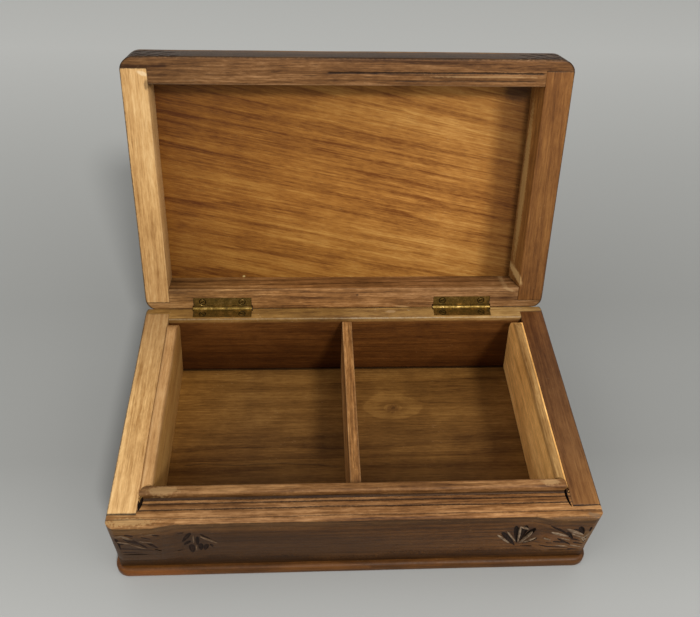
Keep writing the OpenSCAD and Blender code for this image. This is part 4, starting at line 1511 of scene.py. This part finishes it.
@dataclass
class Hinges:
    """The two brass butt hinges with their pins and screws, on their CAD nodes."""

    middles: tuple[float, float] = (-63.3, 59.7)
    spread: float = 10.0
    reach: float = 3.7
    box_nodes: tuple[str, ...] = (
        "left_hinge_base_leaf",
        "right_hinge_base_leaf",
        "left_hinge_pin",
        "right_hinge_pin",
        "base_hinge_screws",
    )
    lid_nodes: tuple[str, ...] = ("left_hinge_lid_leaf", "right_hinge_lid_leaf", "lid_hinge_screws")

    def build(self) -> None:
        """Dresses the hinges' nodes in old brass, with dark lines drawn at their screws' rims and slots."""
        screws = tuple(
            (middle + step, SIZES.axis_y - self.reach) for middle in self.middles for step in (-self.spread, self.spread)
        )
        finish = BrassFinish(screws=screws)
        for side, nodes in ((Side.BOX, self.box_nodes), (Side.LID, self.lid_nodes)):
            material = finish.build("old_brass_" + side.value, side)
            for node in nodes:
                dress(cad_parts[node], material)
                log.info("hinge part %s", node)


@dataclass
class Studio:
    """The pale floor, greyed with painted light and shade, the soft lights and the camera."""

    eye: Point = (-19.4, -228.9, 330.8)
    right: Point = (0.99861, -0.04228, 0.03146)
    up: Point = (0.00739, 0.70342, 0.71073)
    ahead: Point = (0.05218, 0.70951, -0.70276)
    lens: float = 40.73
    # Painted light and shade: greys along the floor's depth, darkest under and behind the box.
    floor_greys: tuple[tuple[float, float], ...] = (
        (-200.0, 176.0), (-80.0, 168.0), (0.0, 143.0), (110.0, 140.0), (260.0, 152.0), (430.0, 168.0), (560.0, 162.0),
    )
    room: float = 0.62
    backdrop: Rgb = srgb(190, 190, 186)

    key_from: Point = (0.28, -0.7, 0.72)
    key_power: float = 1.9
    key_angle: float = 9.0

    def floor(self) -> None:
        """Lays a wide pale floor under the box, with painted shade greying it about and behind the box."""
        deselect()
        bpy.ops.mesh.primitive_grid_add(x_subdivisions=8, y_subdivisions=8, size=6.0, location=(0.0, 0.0, 0.0))
        floor = bpy.context.object
        floor.name = "studio_floor"
        graph = Graph("pale_floor")
        _, back, _ = graph.parts(graph.place(Side.BOX))
        low, high = self.floor_greys[0][0], self.floor_greys[-1][0]
        stops = [((at - low) / (high - low), srgb(grey, grey, grey - 3.5)) for at, grey in self.floor_greys]
        colour = graph.ramp((back - low) / (high - low), stops)
        dress(floor, graph.finish(colour, 0.9, None, 0.0))

    def lamp(self, name: str, place: Point, size: float, power: float, colour: Rgb = (1.0, 1.0, 1.0)) -> None:
        """Hangs one square soft light that faces the box.

        Args:
            name: Its name.
            place: Where it hangs, in metres.
            size: Its side in metres.
            power: Its power in watts.
            colour: Its colour.
        """
        light = bpy.data.lights.new(name, "AREA")
        light.shape = "SQUARE"
        light.size = size
        light.energy = power
        light.color = colour
        lamp = bpy.data.objects.new(name, light)
        lamp.location = place
        aim = Vector((0.0, 0.0, 0.05)) - Vector(place)
        lamp.rotation_euler = aim.to_track_quat("-Z", "Y").to_euler()
        bpy.context.scene.collection.objects.link(lamp)

    def sun(self) -> None:
        """Sets the main light: even, a little soft, from the front and above."""
        light = bpy.data.lights.new("key", "SUN")
        light.energy = self.key_power
        light.angle = math.radians(self.key_angle)
        lamp = bpy.data.objects.new("key", light)
        lamp.location = (0.2, -0.8, 0.9)
        lamp.rotation_euler = (-Vector(self.key_from)).to_track_quat("-Z", "Y").to_euler()
        bpy.context.scene.collection.objects.link(lamp)

    def world(self) -> None:
        """Fills the room with even light, and shows it paler than it lights."""
        world = bpy.data.worlds.new("room")
        bpy.context.scene.world = world
        world.use_nodes = True
        tree = world.node_tree
        tree.nodes.clear()
        out = tree.nodes.new("ShaderNodeOutputWorld")
        glow = tree.nodes.new("ShaderNodeBackground")
        glow.inputs[0].default_value = (1.0, 1.0, 1.0, 1.0)
        glow.inputs[1].default_value = self.room
        backdrop = tree.nodes.new("ShaderNodeBackground")
        backdrop.inputs[0].default_value = (*self.backdrop[:3], 1.0)
        seen = tree.nodes.new("ShaderNodeLightPath")
        choose = tree.nodes.new("ShaderNodeMixShader")
        shown = seen.outputs["Is Camera Ray"]
        for ray in ("Is Glossy Ray", "Is Transmission Ray"):
            either = tree.nodes.new("ShaderNodeMath")
            either.operation = "MAXIMUM"
            tree.links.new(shown, either.inputs[0])
            tree.links.new(seen.outputs[ray], either.inputs[1])
            shown = either.outputs[0]
        tree.links.new(shown, choose.inputs[0])
        tree.links.new(glow.outputs[0], choose.inputs[1])
        tree.links.new(backdrop.outputs[0], choose.inputs[2])
        tree.links.new(choose.outputs[0], out.inputs[0])

    def camera(self) -> None:
        """Sets the camera up."""
        data = bpy.data.cameras.new("camera")
        data.lens = self.lens
        data.sensor_width = 36.0
        data.clip_start = 0.01
        camera = bpy.data.objects.new("camera", data)
        columns = (Vector(self.right), Vector(self.up), -Vector(self.ahead), Vector(self.eye) * MM)
        matrix = Matrix.Identity(4)
        for index, column in enumerate(columns):
            for row in range(3):
                matrix[row][index] = column[row]
        camera.matrix_world = matrix
        bpy.context.scene.collection.objects.link(camera)
        bpy.context.scene.camera = camera

    def build(self) -> None:
        """Makes the studio."""
        self.floor()
        self.sun()
        self.lamp("fill_left", (-0.9, -0.3, 0.8), 0.9, 3.4)
        self.lamp("fill_right", (0.9, -0.5, 0.7), 0.9, 2.0)
        self.world()
        self.camera()
        bpy.context.scene.view_settings.view_transform = "Standard"
        log.info("studio ready")


def main() -> None:
    """Builds the box and the studio."""
    logging.basicConfig(level=logging.INFO, format="%(message)s")
    Carcass().build()
    Lid().build()
    Hinges().build()
    Studio().build()


if __name__ == "__main__":
    main()
